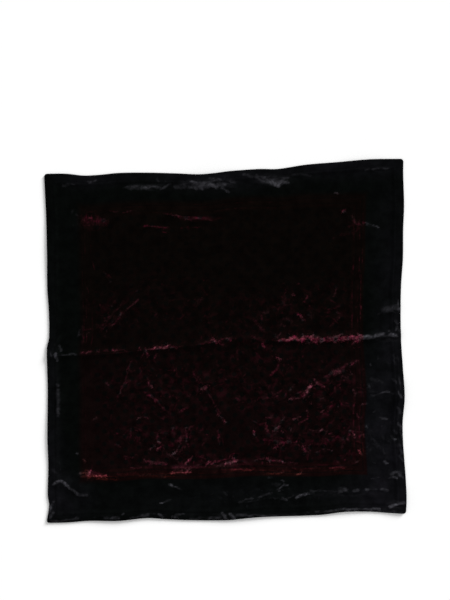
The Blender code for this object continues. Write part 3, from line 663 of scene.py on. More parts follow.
        (33, -407, 46, -404, 4.0, 0.32, 1.0),
        (50, -399, 68, -396, 4.2, 0.42, 1.0),
        (84, -394, 94, -390, 4.5, 0.42, 1.0),
        (94, -389, 116, -384, 4.5, 0.37, 1.0),
        (78, -373, 85, -376, 4.5, 0.32, 1.0),
        (116, -361, 136, -361, 7.5, 0.27, 1.0),
        (132, -373, 136, -377, 4.5, 0.52, 1.0),
        (136, -372, 147, -363, 4.0, 0.56, 1.0),
        (146, -361, 157, -364, 4.0, 0.56, 1.0),
        (141, -351, 147, -355, 4.5, 0.50, 1.0),
        (143, -396, 153, -400, 7.5, 0.56, 1.0),
        (180, -394, 200, -386, 6.5, 0.84, 1.0),
        (202, -385, 222, -384, 4.5, 0.32, 1.0),
        (214, -376, 230, -380, 4.5, 0.40, 1.0),
        (235, -376, 241, -377, 4.5, 0.32, 1.0),
        (288, -372, 304, -374, 9.5, 0.44, 1.0),
        (286, -381, 306, -378, 4.5, 0.52, 1.0),
        (322, -377, 334, -376, 6.5, 0.47, 1.0),
        (354, -374, 358, -376, 7.5, 0.56, 1.0),
        (394, -373, 408, -376, 7.5, 0.54, 1.0),
        # bottom edge
        (-438, -453, -405, -454, 5.0, 0.46, 1.0),
        (-400, -450, -370, -447, 4.0, 0.38, 1.0),
        (-377, -445, -370, -446, 4.5, 0.44, 1.0),
        (-302, -446, -268, -446, 6.5, 0.48, 1.0),
        (-260, -436, -257, -436, 4.5, 0.50, 1.0),
        (-240, -446, -205, -441, 4.5, 0.42, 1.0),
        (-208, -440, -196, -438, 7.5, 0.44, 1.0),
        (-168, -437, -158, -444, 6.5, 0.58, 1.0),
        (-133, -443, -122, -444, 5.5, 0.48, 1.0),
        (-126, -438, -103, -436, 4.5, 0.44, 1.0),
        (-90, -447, -60, -447, 4.5, 0.34, 1.0),
        (-42, -446, -15, -445, 5.5, 0.42, 1.0),
        (-8, -434, 0, -446, 8.5, 0.62, 1.0),
        (12, -436, 22, -446, 9.5, 0.62, 1.0),
        (28, -437, 52, -438, 6.5, 0.44, 1.0),
        (58, -443, 66, -443, 5.5, 0.48, 1.0),
        (88, -441, 128, -441, 5.5, 0.50, 1.0),
        (128, -440, 155, -442, 4.5, 0.32, 1.0),
        (225, -432, 255, -431, 4.5, 0.38, 1.0),
        (252, -429, 292, -424, 5.5, 0.54, 1.0),
        (290, -424, 318, -424, 6.5, 0.62, 1.0),
        (320, -424, 362, -424, 5.5, 0.54, 1.0),
        (360, -424, 388, -424, 6.5, 0.62, 1.0),
        (386, -428, 428, -431, 5.5, 0.44, 1.0),
        (404, -431, 446, -434, 4.5, 0.50, 1.0),
    ],
}

# Areas where the pile is crushed and where its painted highlights and painted sheen lie, in metres: x, y,
# reach along x, reach along y, amount.
crushAndSheenAreas = {
    # painted sheen: long streaks of light across the cloth
    "sheenStreaks": [  # long shine across the cloth
        (-0.052, 0.394, 0.090, 0.018, 0.26),
        (0.118, 0.404, 0.058, 0.020, 0.28),
        (-0.200, 0.388, 0.062, 0.012, 0.18),
        (0.385, 0.431, 0.045, 0.008, 0.12),
        (0.415, 0.078, 0.036, 0.018, 0.06),
        (0.412, 0.004, 0.060, 0.012, 0.12),
        (0.430, -0.414, 0.034, 0.020, 0.18),
        (0.428, -0.336, 0.026, 0.014, 0.12),
        (-0.444, -0.428, 0.014, 0.022, 0.14),
        (-0.422, -0.150, 0.009, 0.060, 0.22),
        (0.300, -0.386, 0.140, 0.014, 0.08),
        (0.120, -0.440, 0.330, 0.010, 0.08),
        (-0.340, -0.338, 0.040, 0.010, 0.55),
        (-0.110, -0.318, 0.040, 0.012, 0.18),
        (0.010, -0.308, 0.070, 0.014, 0.25),
        (-0.070, 0.308, 0.070, 0.008, 0.20),
    ],
    # painted highlights: small broken glints where the pile is crushed; the same amounts also crumple the
    # cloth's face
    "crushGlints": [  # small broken marks
        (-0.335, 0.302, 0.036, 0.034, 0.75),
        (0.330, 0.290, 0.040, 0.030, 0.40),
        (-0.290, 0.070, 0.090, 0.070, 0.34),
        (-0.150, 0.110, 0.190, 0.110, 0.17),
        (0.160, 0.080, 0.150, 0.090, 0.32),
        (0.280, 0.100, 0.100, 0.110, 0.26),
        (0.020, 0.060, 0.200, 0.090, 0.22),
        (0.060, -0.020, 0.340, 0.050, 0.22),
        (-0.140, -0.110, 0.260, 0.110, 0.47),
        (0.100, -0.110, 0.200, 0.110, 0.54),
        (0.280, -0.120, 0.110, 0.110, 0.62),
        (-0.160, -0.240, 0.200, 0.100, 0.46),
        (-0.130, -0.255, 0.080, 0.060, 0.42),
        (0.130, -0.235, 0.120, 0.080, 0.70),
        (0.280, -0.240, 0.120, 0.110, 0.78),
        (0.000, -0.310, 0.360, 0.040, 0.55),
        (0.400, -0.250, 0.060, 0.160, 0.18),
        (0.420, -0.080, 0.040, 0.120, 0.14),
        (-0.420, -0.380, 0.060, 0.050, 0.12),
        (0.100, -0.400, 0.300, 0.050, 0.12),
        (-0.050, 0.400, 0.220, 0.030, 0.14),
        (-0.370, 0.300, 0.030, 0.030, 0.16),
    ],
    # painted highlights along the printed frame's lines
    "frame": [  # where the printed frame's lines shine
        (0.345, 0.130, 0.070, 0.260, 0.31),
        (0.340, 0.060, 0.050, 0.080, 0.25),
        (0.345, -0.210, 0.070, 0.220, 0.37),
        (-0.365, 0.030, 0.050, 0.110, 0.31),
        (-0.365, 0.220, 0.050, 0.140, 0.08),
        (-0.365, -0.180, 0.050, 0.240, 0.08),
        (0.000, -0.325, 0.460, 0.060, 0.26),
        (0.000, 0.330, 0.420, 0.050, 0.06),
    ],
    # painted sheen: stretches of the black are painted greyer, where the pile catches the light
    "sheenHaze": [  # greyer stretches of black
        (0.425, 0.180, 0.085, 0.330, 0.42),
        (0.000, -0.385, 0.460, 0.065, 0.20),
        (-0.400, -0.400, 0.110, 0.090, 0.50),
        (-0.450, -0.200, 0.050, 0.340, 0.42),
        (-0.360, 0.405, 0.110, 0.040, 0.40),
        (-0.030, 0.415, 0.300, 0.055, 0.66),
        (0.300, 0.440, 0.240, 0.050, 0.75),
        (-0.330, 0.410, 0.140, 0.034, 0.40),
        (0.400, -0.250, 0.130, 0.300, 0.84),
        (0.420, -0.020, 0.090, 0.160, 0.30),
        (0.360, -0.400, 0.180, 0.080, 0.44),
        (-0.100, -0.425, 0.340, 0.040, 0.10),
        (-0.425, -0.330, 0.050, 0.160, 0.30),
        (-0.440, 0.100, 0.030, 0.300, 0.12),
    ],
}


def curveValue(rows, share, column):
    # a smooth curve through one column of the rows, whose first column is the place
    table = np.array(rows, float)
    place, value = table[:, 0], table[:, column]
    last = len(place) - 1
    at = np.clip(np.searchsorted(place, share) - 1, 0, last - 1)
    before, beyond = np.maximum(at - 1, 0), np.minimum(at + 2, last)
    span = place[at + 1] - place[at]
    t = np.clip((share - place[at]) / span, 0.0, 1.0)
    slopeHere = (value[at + 1] - value[before]) / (place[at + 1] - place[before]) * span
    slopeNext = (value[beyond] - value[at]) / (place[beyond] - place[at]) * span
    return (
        (2 * t**3 - 3 * t**2 + 1) * value[at]
        + (t**3 - 2 * t**2 + t) * slopeHere
        + (3 * t**2 - 2 * t**3) * value[at + 1]
        + (t**3 - t**2) * slopeNext
    )


def between(start, end, share):
    return np.stack([a + (b - a) * share for a, b in zip(start, end)])


def sidePoint(start, end, rows, share, inward):
    inset = curveValue([(0.0, 0.0), *rows, (1.0, 0.0)], share, 1)
    return between(start, end, share) + np.array(inward, float)[:, None] * inset


def cornerRounded(across, up):
    # near a corner the cloth is drawn in, so that the folded corner is a little round
    side, reach = scarf["side"], scarf["cornerRound"]
    fromSide = np.minimum(across, 1.0 - across) * side
    fromFoot = np.minimum(up, 1.0 - up) * side
    u, v = np.clip(1.0 - fromSide / reach, 0, 1), np.clip(1.0 - fromFoot / reach, 0, 1)
    moveAcross = reach / side * u * (1.0 - np.sqrt(1.0 - v * v / 2))
    moveUp = reach / side * v * (1.0 - np.sqrt(1.0 - u * u / 2))
    return across + np.sign(0.5 - across) * moveAcross, up + np.sign(0.5 - up) * moveUp


def laid(across, up):
    # where a place of the flat square lies on the table, with all four drawn-in sides
    across, up = cornerRounded(across, up)
    bend = 1.0 - np.abs(2.0 * up - 1.0)
    up = up + curveValue(relief["halfWayCrease"], across, 1) * bend
    bottomLeft, bottomRight = scarf["bottomLeft"], scarf["bottomRight"]
    topLeft, topRight = scarf["topLeft"], scarf["topRight"]
    bottom = sidePoint(bottomLeft, bottomRight, scarf["bottomInset"], across, (0, 1))
    top = sidePoint(topLeft, topRight, scarf["topInset"], across, (0, -1))
    left = sidePoint(bottomLeft, topLeft, scarf["leftInset"], up, (1, 0))
    right = sidePoint(bottomRight, topRight, scarf["rightInset"], up, (-1, 0))
    low, high = between(bottomLeft, bottomRight, across), between(topLeft, topRight, across)
    return bottom + (top - bottom) * up + left + (right - left) * across - low - (high - low) * up


def bump(t):
    # 1 in the middle, and smoothly down to 0 at -1 and 1
    return np.where(np.abs(t) < 1.0, (1.0 - t * t) ** 2, 0.0)


def besideLine(x, y, x0, y0, x1, y1, bow):
    # how far beside a bowed line a place lies, and at which share of its length
    length = math.hypot(x1 - x0, y1 - y0)
    alongX, alongY = (x1 - x0) / length, (y1 - y0) / length
    share = ((x - x0) * alongX + (y - y0) * alongY) / length
    aside = (y - y0) * alongX - (x - x0) * alongY - bow * (1.0 - (2.0 * share - 1.0) ** 2)
    return aside, share


def rise(x, y, across, up):
    # how far the crease, the folds and the swells lift the cloth off the table
    fromCrease = np.abs(up - 0.5) * scarf["side"]
    height = curveValue(relief["halfWayCrease"], across, 2)
    height = height * bump(fromCrease / relief["creaseHalfWidth"])
    for x0, y0, x1, y1, bow, halfWidth, top in relief["folds"]:
        aside, share = besideLine(x, y, x0, y0, x1, y1, bow)
        ends = bump(2.0 * share - 1.0) ** relief["endFade"]
        height = height + top * bump(aside / halfWidth) * ends
    for midX, midY, reachX, reachY, top in relief["swells"]:
        height = height + top * bump(np.hypot((x - midX) / reachX, (y - midY) / reachY))
    return height


def middle():
    shares = np.linspace(0.0, 1.0, scarf["outlineSteps"] + 1)
    none, full = np.zeros_like(shares), np.ones_like(shares)
    sides = [(shares, none), (shares, full), (none, shares), (full, shares)]
    edge = np.concatenate([laid(across, up) for across, up in sides], axis=1)
    return (edge.min(axis=1) + edge.max(axis=1)) / 2


scarfMiddle = middle()


def onCloth(s, t):
    # place on the table before it is centred, and the height of the underside there
    s, t = np.asarray(s, float), np.asarray(t, float)
    across, up = s.ravel() / scarf["side"], t.ravel() / scarf["side"]
    x, y = laid(across, up)
    z = rise(x, y, across, up)
    return x.reshape(s.shape), y.reshape(s.shape), z.reshape(s.shape)


# The cloth of the square
velvetSquare = {
    "hemFace": 2 * scarf["wall"] + scarf["gap"],  # height of the face over the folded margin
    "edgeLines": [0.0, 0.0004, 0.0012, 0.0022],  # insets of the mesh lines round the rolled edge
    "hemLines": [0.0070, 0.0100, 0.0125],
    "fallLines": [0.0250, 0.0280],
    "stitchInset": 0.0185,
    "stitchGroove": 0.0004,
    "grooveReach": 0.0030,
    "step": 0.0034,  # between the lines of the face
    "coarser": 3,  # the underside takes every third of them
    "calmEdge": 0.006,  # nothing sharp stands out nearer to the edge than this
    "crumple": 0.0011,
    "crumpleScale": 42.0,
    "leastCrumple": 0.25,
    "warpScale": 0.45,
    "warpReach": 1.6,
    "driftPlaces": [(9.3, 0.0, 2.7), (0.0, 17.1, 5.2), (21.6, 3.4, 31.7)],
    "edgeRipple": 0.0005,
    "rippleScale": 38.0,
    "rippleReach": 0.030,
}


def squareLines():
    side, roll = scarf["side"], scarf["roll"]
    flat = scarf["hemWidth"] + scarf["hemFall"]
    stitch, reach = velvetSquare["stitchInset"], velvetSquare["grooveReach"]
    edge, hem = velvetSquare["edgeLines"], velvetSquare["hemLines"]
    margin = [*edge, roll, roll + scarf["gap"], *hem, stitch - reach, stitch - reach / 2]
    margin += [stitch, stitch + reach / 2, scarf["hemWidth"], *velvetSquare["fallLines"]]
    count = round((side / 2 - flat) / velvetSquare["step"])
    inner = np.linspace(flat, side / 2, count + 1)
    half = [*margin, *inner[:-1]]
    lines = np.array([*half, side / 2, *(side - np.array(half[::-1]))])
    keep = [edge[0], edge[2], roll, roll + scarf["gap"], hem[-1], scarf["hemWidth"]]
    picked = [margin.index(line) for line in keep]
    picked += range(len(margin), len(half), velvetSquare["coarser"])
    nearCrease = [n for n in range(len(half)) if side / 2 - half[n] < relief["creaseHalfWidth"]]
    picked = sorted(set(picked) | set(nearCrease))
    last = len(lines) - 1
    return lines, [*picked, len(half), *(last - n for n in reversed(picked))]


def insetOf(s, t):
    side = scarf["side"]
    return np.minimum(np.minimum(s, side - s), np.minimum(t, side - t))


def rollHeights(inset):
    # underside and face over the rounded edge, about the middle of the folded margin
    roll, hemFace = scarf["roll"], velvetSquare["hemFace"]
    part = np.clip(1.0 - inset / roll, 0.0, 1.0)
    half = hemFace / 2 * np.sqrt(1.0 - part**2)
    return hemFace / 2 - half, hemFace / 2 + half


def underHeight(inset):
    lower, _ = rollHeights(inset)
    onHem = scarf["wall"] + scarf["gap"]
    fall = np.clip((inset - scarf["hemWidth"]) / scarf["hemFall"], 0.0, 1.0)
    return np.where(inset > scarf["roll"] + scarf["gap"] / 2, onHem * (1.0 - fall), lower)


def faceHeight(inset):
    _, upper = rollHeights(inset)
    fall = np.clip((inset - scarf["hemWidth"]) / scarf["hemFall"], 0.0, 1.0)
    fall = fall * fall * (3.0 - 2.0 * fall)
    groove = bump((inset - velvetSquare["stitchInset"]) / velvetSquare["grooveReach"])
    drop = (velvetSquare["hemFace"] - scarf["wall"]) * fall
    return upper - drop - velvetSquare["stitchGroove"] * groove


def areaAmount(rows, x, y):
    amount = np.zeros_like(x)
    for midX, midY, reachX, reachY, top in rows:
        amount += top * bump(np.hypot((x - midX) / reachX, (y - midY) / reachY))
    return np.clip(amount, 0.0, 1.0)


def sharpRelief(x, y, across, up):
    # height of the small creases, and for their painted shine the half-widths beside the nearest one
    reach = sharpCreases["shineReach"]
    aside = (up - 0.5) * scarf["side"]
    rows = sharpCreases["crest"]
    height, shine = (curveValue(rows, across.ravel(), n).reshape(x.shape) for n in (1, 2))
    height = height * bump(aside / sharpCreases["crestHalfWidth"])
    shine = shine * bump(aside / reach)
    beside = aside / curveValue(rows, across.ravel(), 3).reshape(x.shape)
    for row in sharpCreases["rows"]:
        x0, y0, x1, y1, bow, halfWidth, top = [value / 1000.0 for value in row[:7]]
        aside, share = besideLine(x, y, x0, y0, x1, y1, bow)
        ends = bump(2.0 * share - 1.0) ** sharpCreases["endFade"]
        dip = sharpCreases["trough"] * bump(aside / halfWidth + sharpCreases["troughPlace"])
        height += top * ends * (bump(aside / halfWidth) - dip)
        here = row[7] * ends * bump(aside / reach)
        nearer = here > shine
        beside = np.where(nearer, aside / sharpCreases["lineHalfWidth"], beside)
        shine = np.where(nearer, here, shine)
    return height, beside, shine


def drift(place):
    # noise_vector differs from run to run, so three single noises give the direction
    return Vector([noise.noise(place + Vector(apart)) for apart in velvetSquare["driftPlaces"]])


def strayed(x, y):
    # the painted highlight marks aren't straight: their places wander a little
    scale, reach = paintedPileHighlights["wanderScale"], paintedPileHighlights["wander"] / 1000.0
    moved = np.array([
        drift(Vector((px * scale, py * scale, 7.0)))[:2] for px, py in zip(x.ravel(), y.ravel())
    ])
    return x + reach * moved[:, 0].reshape(x.shape), y + reach * moved[:, 1].reshape(x.shape)


def pileHighlightPlaces(x, y):
    # how near each place is to the middle of a painted highlight mark, the painted shine of that mark, and
    # how grey it is
    x, y = strayed(x, y)
    near, shine, grey = np.zeros_like(x), np.zeros_like(x), np.zeros_like(x)
    for *line, halfWidth, seen, greyShare in paintedPileHighlights["rows"]:
        x0, y0, x1, y1 = [value / 1000.0 for value in line]
        halfWidth = max(halfWidth * paintedPileHighlights["widthShare"], paintedPileHighlights["narrowest"]) / 1000.0
        aside, share = besideLine(x, y, x0, y0, x1, y1, 0.0)
        past = np.maximum(np.maximum(-share, share - 1.0), 0.0) * math.hypot(x1 - x0, y1 - y0)
        away = np.hypot(aside, past) / halfWidth
        here = bump(away)
        strength = paintedPileHighlights["brightest"] * seen ** paintedPileHighlights["seenPower"]
        closer = (here * strength > near * shine) | ((shine == 0.0) & (away < 2.0))
        near = np.where(closer, here, near)
        grey = np.where(closer, greyShare, grey)
        shine = np.where(closer, strength, shine)
    return near, shine, grey


def crumpled(x, y, crushed):
    scale, least = velvetSquare["crumpleScale"], velvetSquare["leastCrumple"]
    found = []
    for px, py in zip(x.ravel(), y.ravel()):
        place = Vector((px * scale, py * scale, 0.5))
        warp = drift(place * velvetSquare["warpScale"]) * velvetSquare["warpReach"]
        found.append(0.5 - abs(noise.noise(place + warp)))
    return velvetSquare["crumple"] * (least + (1.0 - least) * crushed) * np.array(found).reshape(x.shape)


def rippled(x, y, inset):
    # the folded edge isn't quite even
    scale = velvetSquare["rippleScale"]
    found = [noise.noise(Vector((px * scale, py * scale, 2.0))) for px, py in zip(x.ravel(), y.ravel())]
    near = bump(np.clip(inset / velvetSquare["rippleReach"], 0.0, 1.0))
    return velvetSquare["edgeRipple"] * np.array(found).reshape(x.shape) * near


def setAttribute(mesh, name, values):
    layer = mesh.attributes.new(name, "FLOAT", "POINT")
    layer.data.foreach_set("value", np.asarray(values, np.float32).ravel())


def setFlatMap(mesh, s, t):
    # the cloth's own map: metres across and up the flat square
    flat = np.stack([s.ravel(), t.ravel()], axis=1).astype(np.float32)
    corner = np.zeros(len(mesh.loops), np.int32)
    mesh.loops.foreach_get("vertex_index", corner)
    layer = mesh.uv_layers.new(name="flatCloth")
    layer.uv.foreach_set("vector", flat[corner].ravel())


def newPiece(name, points, faces, s, t, materials, backFaces=0):
    mesh = bpy.data.meshes.new(name)
    mesh.from_pydata(points.tolist(), [], faces)
    for material in materials:
        mesh.materials.append(material)
    index = np.zeros(len(faces), np.int32)
    if backFaces:
        index[-backFaces:] = 1
    mesh.polygons.foreach_set("material_index", index)
    mesh.shade_smooth()
    setFlatMap(mesh, s, t)
    mesh.validate()
    piece = bpy.data.objects.new(name, mesh)
    bpy.context.scene.collection.objects.link(piece)
    return piece


def makeSquare(pile, back):
    lines, picked = squareLines()
    t, s = np.meshgrid(lines, lines, indexing="ij")
    x, y, z = onCloth(s, t)
    inset = insetOf(s, t)
    away = np.clip(inset / velvetSquare["calmEdge"], 0.0, 1.0)
    sharp, beside, shine = sharpRelief(x, y, s / scarf["side"], t / scarf["side"])
    # how crushed the pile is: it crumples the face, and sets the painted glints and painted shade pits
    crushGlints = areaAmount(crushAndSheenAreas["crushGlints"], x, y)
    fine = sharp + crumpled(x, y, crushGlints) + rippled(x, y, inset)
    face = np.stack([x - scarfMiddle[0], y - scarfMiddle[1], z + faceHeight(inset) + fine * away])
    count = len(lines)
    number = np.arange(count * count).reshape(count, count)
    quads = np.stack([number[:-1, :-1], number[:-1, 1:], number[1:, 1:], number[1:, :-1]], -1)
    faces = quads.reshape(-1, 4).tolist()
    # a corner cell is split from the corner itself, so that the underside never shares its diagonal
    span = count - 1
    for place, turn in ((0, 0), (span - 1, 1), (span * span - 1, 2), (span * (span - 1), 3)):
        a, b, c, d = np.roll(faces[place], -turn).tolist()
        faces[place] = [a, b, c]
        faces.append([a, c, d])

    # the underside shares the rim's points and is coarser inside it
    rows = np.array(picked)
    ownRows = rows[1:-1]
    under = np.meshgrid(ownRows, ownRows, indexing="ij")
    underS, underT = lines[under[1]], lines[under[0]]
    ux, uy, uz = onCloth(underS, underT)
    lower = np.stack([ux - scarfMiddle[0], uy - scarfMiddle[1], uz + underHeight(insetOf(underS, underT))])
    known = {}
    for j, row in enumerate(ownRows):
        for i, column in enumerate(ownRows):
            known[(row, column)] = number.size + j * len(ownRows) + i
    last = count - 1

    def corner(j, i):
        return known.get((j, i), number[j, i])

    def run(start, end):
        (j0, i0), (j1, i1) = start, end
        if j0 == j1 and j0 in (0, last):
            return [int(number[j0, i]) for i in range(i0, i1, 1 if i1 > i0 else -1)]
        if i0 == i1 and i0 in (0, last):
            return [int(number[j, i0]) for j in range(j0, j1, 1 if j1 > j0 else -1)]
        return [int(corner(j0, i0))]

    rolled, flat = [], []
    for j0, j1 in zip(rows, rows[1:]):
        for i0, i1 in zip(rows, rows[1:]):
            loop = [(j0, i0), (j1, i0), (j1, i1), (j0, i1)]
            cell = [n for a, b in zip(loop, loop[1:] + loop[:1]) for n in run(a, b)]
            onRoll = min(j0, i0, last - j1, last - i1) < len(velvetSquare["edgeLines"])
            (rolled if onRoll else flat).append(cell)
    points = np.concatenate([face.reshape(3, -1), lower.reshape(3, -1)], axis=1).T
    allS = np.concatenate([s.ravel(), underS.ravel()])
    allT = np.concatenate([t.ravel(), underT.ravel()])
    square = newPiece("velvetCloth", points, faces + rolled + flat, allS, allT, (pile, back), len(flat))

    onFace = {"creaseBeside": beside, "creaseShine": shine, "crushGlintAmount": crushGlints}
    onFace["highlightNear"], onFace["highlightShine"], onFace["highlightGrey"] = pileHighlightPlaces(x, y)
    onFace["frameShineAmount"] = areaAmount(crushAndSheenAreas["frame"], x, y)
    onFace["sheenStreakAmount"] = areaAmount(crushAndSheenAreas["sheenStreaks"], x, y)
    onFace["sheenHazeAmount"] = areaAmount(crushAndSheenAreas["sheenHaze"], x, y)
    for name, values in onFace.items():
        rest = np.full(underS.size, sharpCreases["offCrease"] if name == "creaseBeside" else 0.0)
        setAttribute(square.data, name, np.concatenate([values.ravel(), rest]))
    return square


# The margin folded under along each side
foldedHem = {
    "outer": scarf["roll"] + 2 * scarf["gap"],
    "inner": scarf["hemWidth"] - scarf["gap"],
    "mitreGap": 0.75 * scarf["gap"],  # each side of a mitre
    "groove": 0.0006,  # what the stitches sink into underneath
    "middleLine": velvetSquare["hemLines"][-1],
    "rawEdgeWander": 0.0005,
    "wanderScale": 60.0,
}


def makeHem(name, placed, pile, back):
    side, wall = scarf["side"], scarf["wall"]
    stitch, reach = velvetSquare["stitchInset"], velvetSquare["grooveReach"] / 2
    insets = [foldedHem["outer"], foldedHem["middleLine"], stitch - reach, stitch]
    insets += [stitch + reach, foldedHem["inner"]]
    clear = scarf["hemWidth"] + scarf["hemFall"]
    lines, picked = squareLines()
    along = [line for line in lines[picked] if clear < line < side - clear]
    rows = []
    for inset in insets:
        end = inset + foldedHem["mitreGap"]
        start = [end, (end + clear) / 2, clear]
        rows.append(np.array([*start, *along, *(side - np.array(start[::-1]))]))
    run = np.array(rows)
    inward = np.array(insets)[:, None] * np.ones_like(run)
    scale = foldedHem["wanderScale"]
    wander = [noise.noise(Vector((value * scale, len(name), 4.0))) for value in run[-1]]
    inward[-1] -= foldedHem["rawEdgeWander"] * np.abs(wander)
    s, t = placed(run, inward)
    x, y, z = onCloth(s, t)
    x, y = x - scarfMiddle[0], y - scarfMiddle[1]
    sunk = foldedHem["groove"] * (np.array(insets) == stitch)[:, None]
    upper, lower = np.stack([x, y, z + wall]), np.stack([x, y, z + sunk])
    rowCount, columnCount = run.shape
    top = np.arange(run.size).reshape(run.shape)
    below = top + run.size
    faces, backs = [], []
    for j in range(rowCount - 1):
        for i in range(columnCount - 1):
            loop = [(j, i), (j, i + 1), (j + 1, i + 1), (j + 1, i)]
            backs.append([int(top[a]) for a in loop])
            faces.append([int(below[a]) for a in reversed(loop)])
    rim = [(0, i) for i in range(columnCount - 1)] + [(j, columnCount - 1) for j in range(rowCount - 1)]
    rim += [(rowCount - 1, i) for i in range(columnCount - 1, 0, -1)]
    rim += [(j, 0) for j in range(rowCount - 1, 0, -1)]
    for a, b in zip(rim, rim[1:] + rim[:1]):
        faces.append([int(below[a]), int(below[b]), int(top[b]), int(top[a])])
    points = np.concatenate([upper.reshape(3, -1), lower.reshape(3, -1)], axis=1).T
    allS, allT = np.concatenate([s.ravel()] * 2), np.concatenate([t.ravel()] * 2)
    if name in ("hemTop", "hemLeft"):  # these are laid mirrored, so their faces turn
        faces, backs = [face[::-1] for face in faces], [face[::-1] for face in backs]
    return newPiece(name, points, faces + backs, allS, allT, (pile, back), len(backs))


def makeHems(pile, back):
    side = scarf["side"]
    placings = {
        "hemBottom": lambda run, inward: (run, inward),
        "hemRight": lambda run, inward: (side - inward, run),
        "hemTop": lambda run, inward: (run, side - inward),
        "hemLeft": lambda run, inward: (inward, run),
    }
    return {name: makeHem(name, placed, pile, back) for name, placed in placings.items()}


# Sewing: one line of small stitches along the hems, on the face and underneath
hemSewing = {
    "pitch": 0.0036,
    "stitchLength": 0.0029,
    "threadRadius": 0.00022,
    "lift": 0.00055,
    "faceSink": 0.00005,
    "underSink": 0.00020,
    "wander": 0.07,
    "seed": 7,
    "pathStep": 0.004,
    "arcSteps": 4,
    "threadSides": 6,
    "underLift": -0.2,  # underneath a stitch lies flatter, and bows the other way
}


def stitchTree():
    tree = bpy.data.node_groups.new("sewnLine", "GeometryNodeTree")
    face = tree.interface
    face.new_socket("Path", in_out="INPUT", socket_type="NodeSocketGeometry")
    for name in ("Stitch pitch", "Stitch length", "Thread radius", "Stitch lift", "Wander"):
        face.new_socket(name, in_out="INPUT", socket_type="NodeSocketFloat")
    face.new_socket("Seed", in_out="INPUT", socket_type="NodeSocketInt")
    face.new_socket("Thread", in_out="INPUT", socket_type="NodeSocketMaterial")
    face.new_socket("Stitches", in_out="OUTPUT", socket_type="NodeSocketGeometry")
    nodes, links = tree.nodes, tree.links
    given, made = nodes.new("NodeGroupInput"), nodes.new("NodeGroupOutput")

    path = nodes.new("GeometryNodeMeshToCurve")
    links.new(given.outputs["Path"], path.inputs["Mesh"])
    spaced = nodes.new("GeometryNodeResampleCurve")
    spaced.mode = "LENGTH"
    links.new(path.outputs["Curve"], spaced.inputs["Curve"])
    links.new(given.outputs["Stitch pitch"], spaced.inputs["Length"])

    ahead = numbers(tree, "MULTIPLY", given.outputs["Stitch length"], 0.5)
    behind = numbers(tree, "MULTIPLY", ahead, -1.0)
    arc = nodes.new("GeometryNodeCurveQuadraticBezier")
    arc.inputs["Resolution"].default_value = hemSewing["arcSteps"]
    lift = given.outputs["Stitch lift"]
    for name, source, socket in (("Start", behind, "X"), ("Middle", lift, "Z"), ("End", ahead, "X")):
        place = nodes.new("ShaderNodeCombineXYZ")
        links.new(source, place.inputs[socket])
        links.new(place.outputs[0], arc.inputs[name])
    ring = nodes.new("GeometryNodeCurvePrimitiveCircle")
    ring.inputs["Resolution"].default_value = hemSewing["threadSides"]
    links.new(given.outputs["Thread radius"], ring.inputs["Radius"])
    thread = nodes.new("GeometryNodeCurveToMesh")
    thread.inputs["Fill Caps"].default_value = True
    links.new(arc.outputs[0], thread.inputs["Curve"])
    links.new(ring.outputs[0], thread.inputs["Profile Curve"])

    tangent = nodes.new("GeometryNodeInputTangent")
    heading = nodes.new("FunctionNodeAlignRotationToVector")
    heading.axis, heading.pivot_axis = "X", "Z"
    links.new(tangent.outputs[0], heading.inputs["Vector"])
    slope = nodes.new("FunctionNodeAlignRotationToVector")
    slope.axis, slope.pivot_axis = "X", "Y"
    links.new(heading.outputs[0], slope.inputs["Rotation"])
    links.new(tangent.outputs[0], slope.inputs["Vector"])
    turn = nodes.new("FunctionNodeRandomValue")
    turn.data_type = "FLOAT"
    links.new(numbers(tree, "MULTIPLY", given.outputs["Wander"], -1.0), turn.inputs[2])
    links.new(given.outputs["Wander"], turn.inputs[3])
    links.new(given.outputs["Seed"], turn.inputs["Seed"])
    turned = nodes.new("FunctionNodeAxisAngleToRotation")
    turned.inputs["Axis"].default_value = (0.0, 0.0, 1.0)
    links.new(turn.outputs[1], turned.inputs["Angle"])
    facing = nodes.new("FunctionNodeRotateRotation")
    facing.rotation_space = "LOCAL"
    links.new(slope.outputs[0], facing.inputs["Rotation"])
    links.new(turned.outputs[0], facing.inputs["Rotate By"])

    sewn = nodes.new("GeometryNodeInstanceOnPoints")
    links.new(spaced.outputs[0], sewn.inputs["Points"])
    links.new(thread.outputs[0], sewn.inputs["Instance"])
    links.new(facing.outputs[0], sewn.inputs["Rotation"])
    real = nodes.new("GeometryNodeRealizeInstances")
    links.new(sewn.outputs[0], real.inputs[0])
    smooth = nodes.new("GeometryNodeSetShadeSmooth")
    links.new(real.outputs[0], smooth.inputs[0])
    dressed = nodes.new("GeometryNodeSetMaterial")
    links.new(smooth.outputs[0], dressed.inputs["Geometry"])
    links.new(given.outputs["Thread"], dressed.inputs["Material"])
    links.new(dressed.outputs[0], made.inputs[0])
    return tree


def stitchPath(heights):
    side, inset = scarf["side"], velvetSquare["stitchInset"]
    count = round((side - 2 * inset) / hemSewing["pathStep"])
    run = np.linspace(inset, side - inset, count + 1)[:-1]
    still = np.full_like(run, inset)
    s = np.concatenate([run, side - still, side - run, still])
    t = np.concatenate([still, run, side - still, side - run])
    x, y, z = onCloth(s, t)
    return np.stack([x - scarfMiddle[0], y - scarfMiddle[1], z + heights], axis=1)


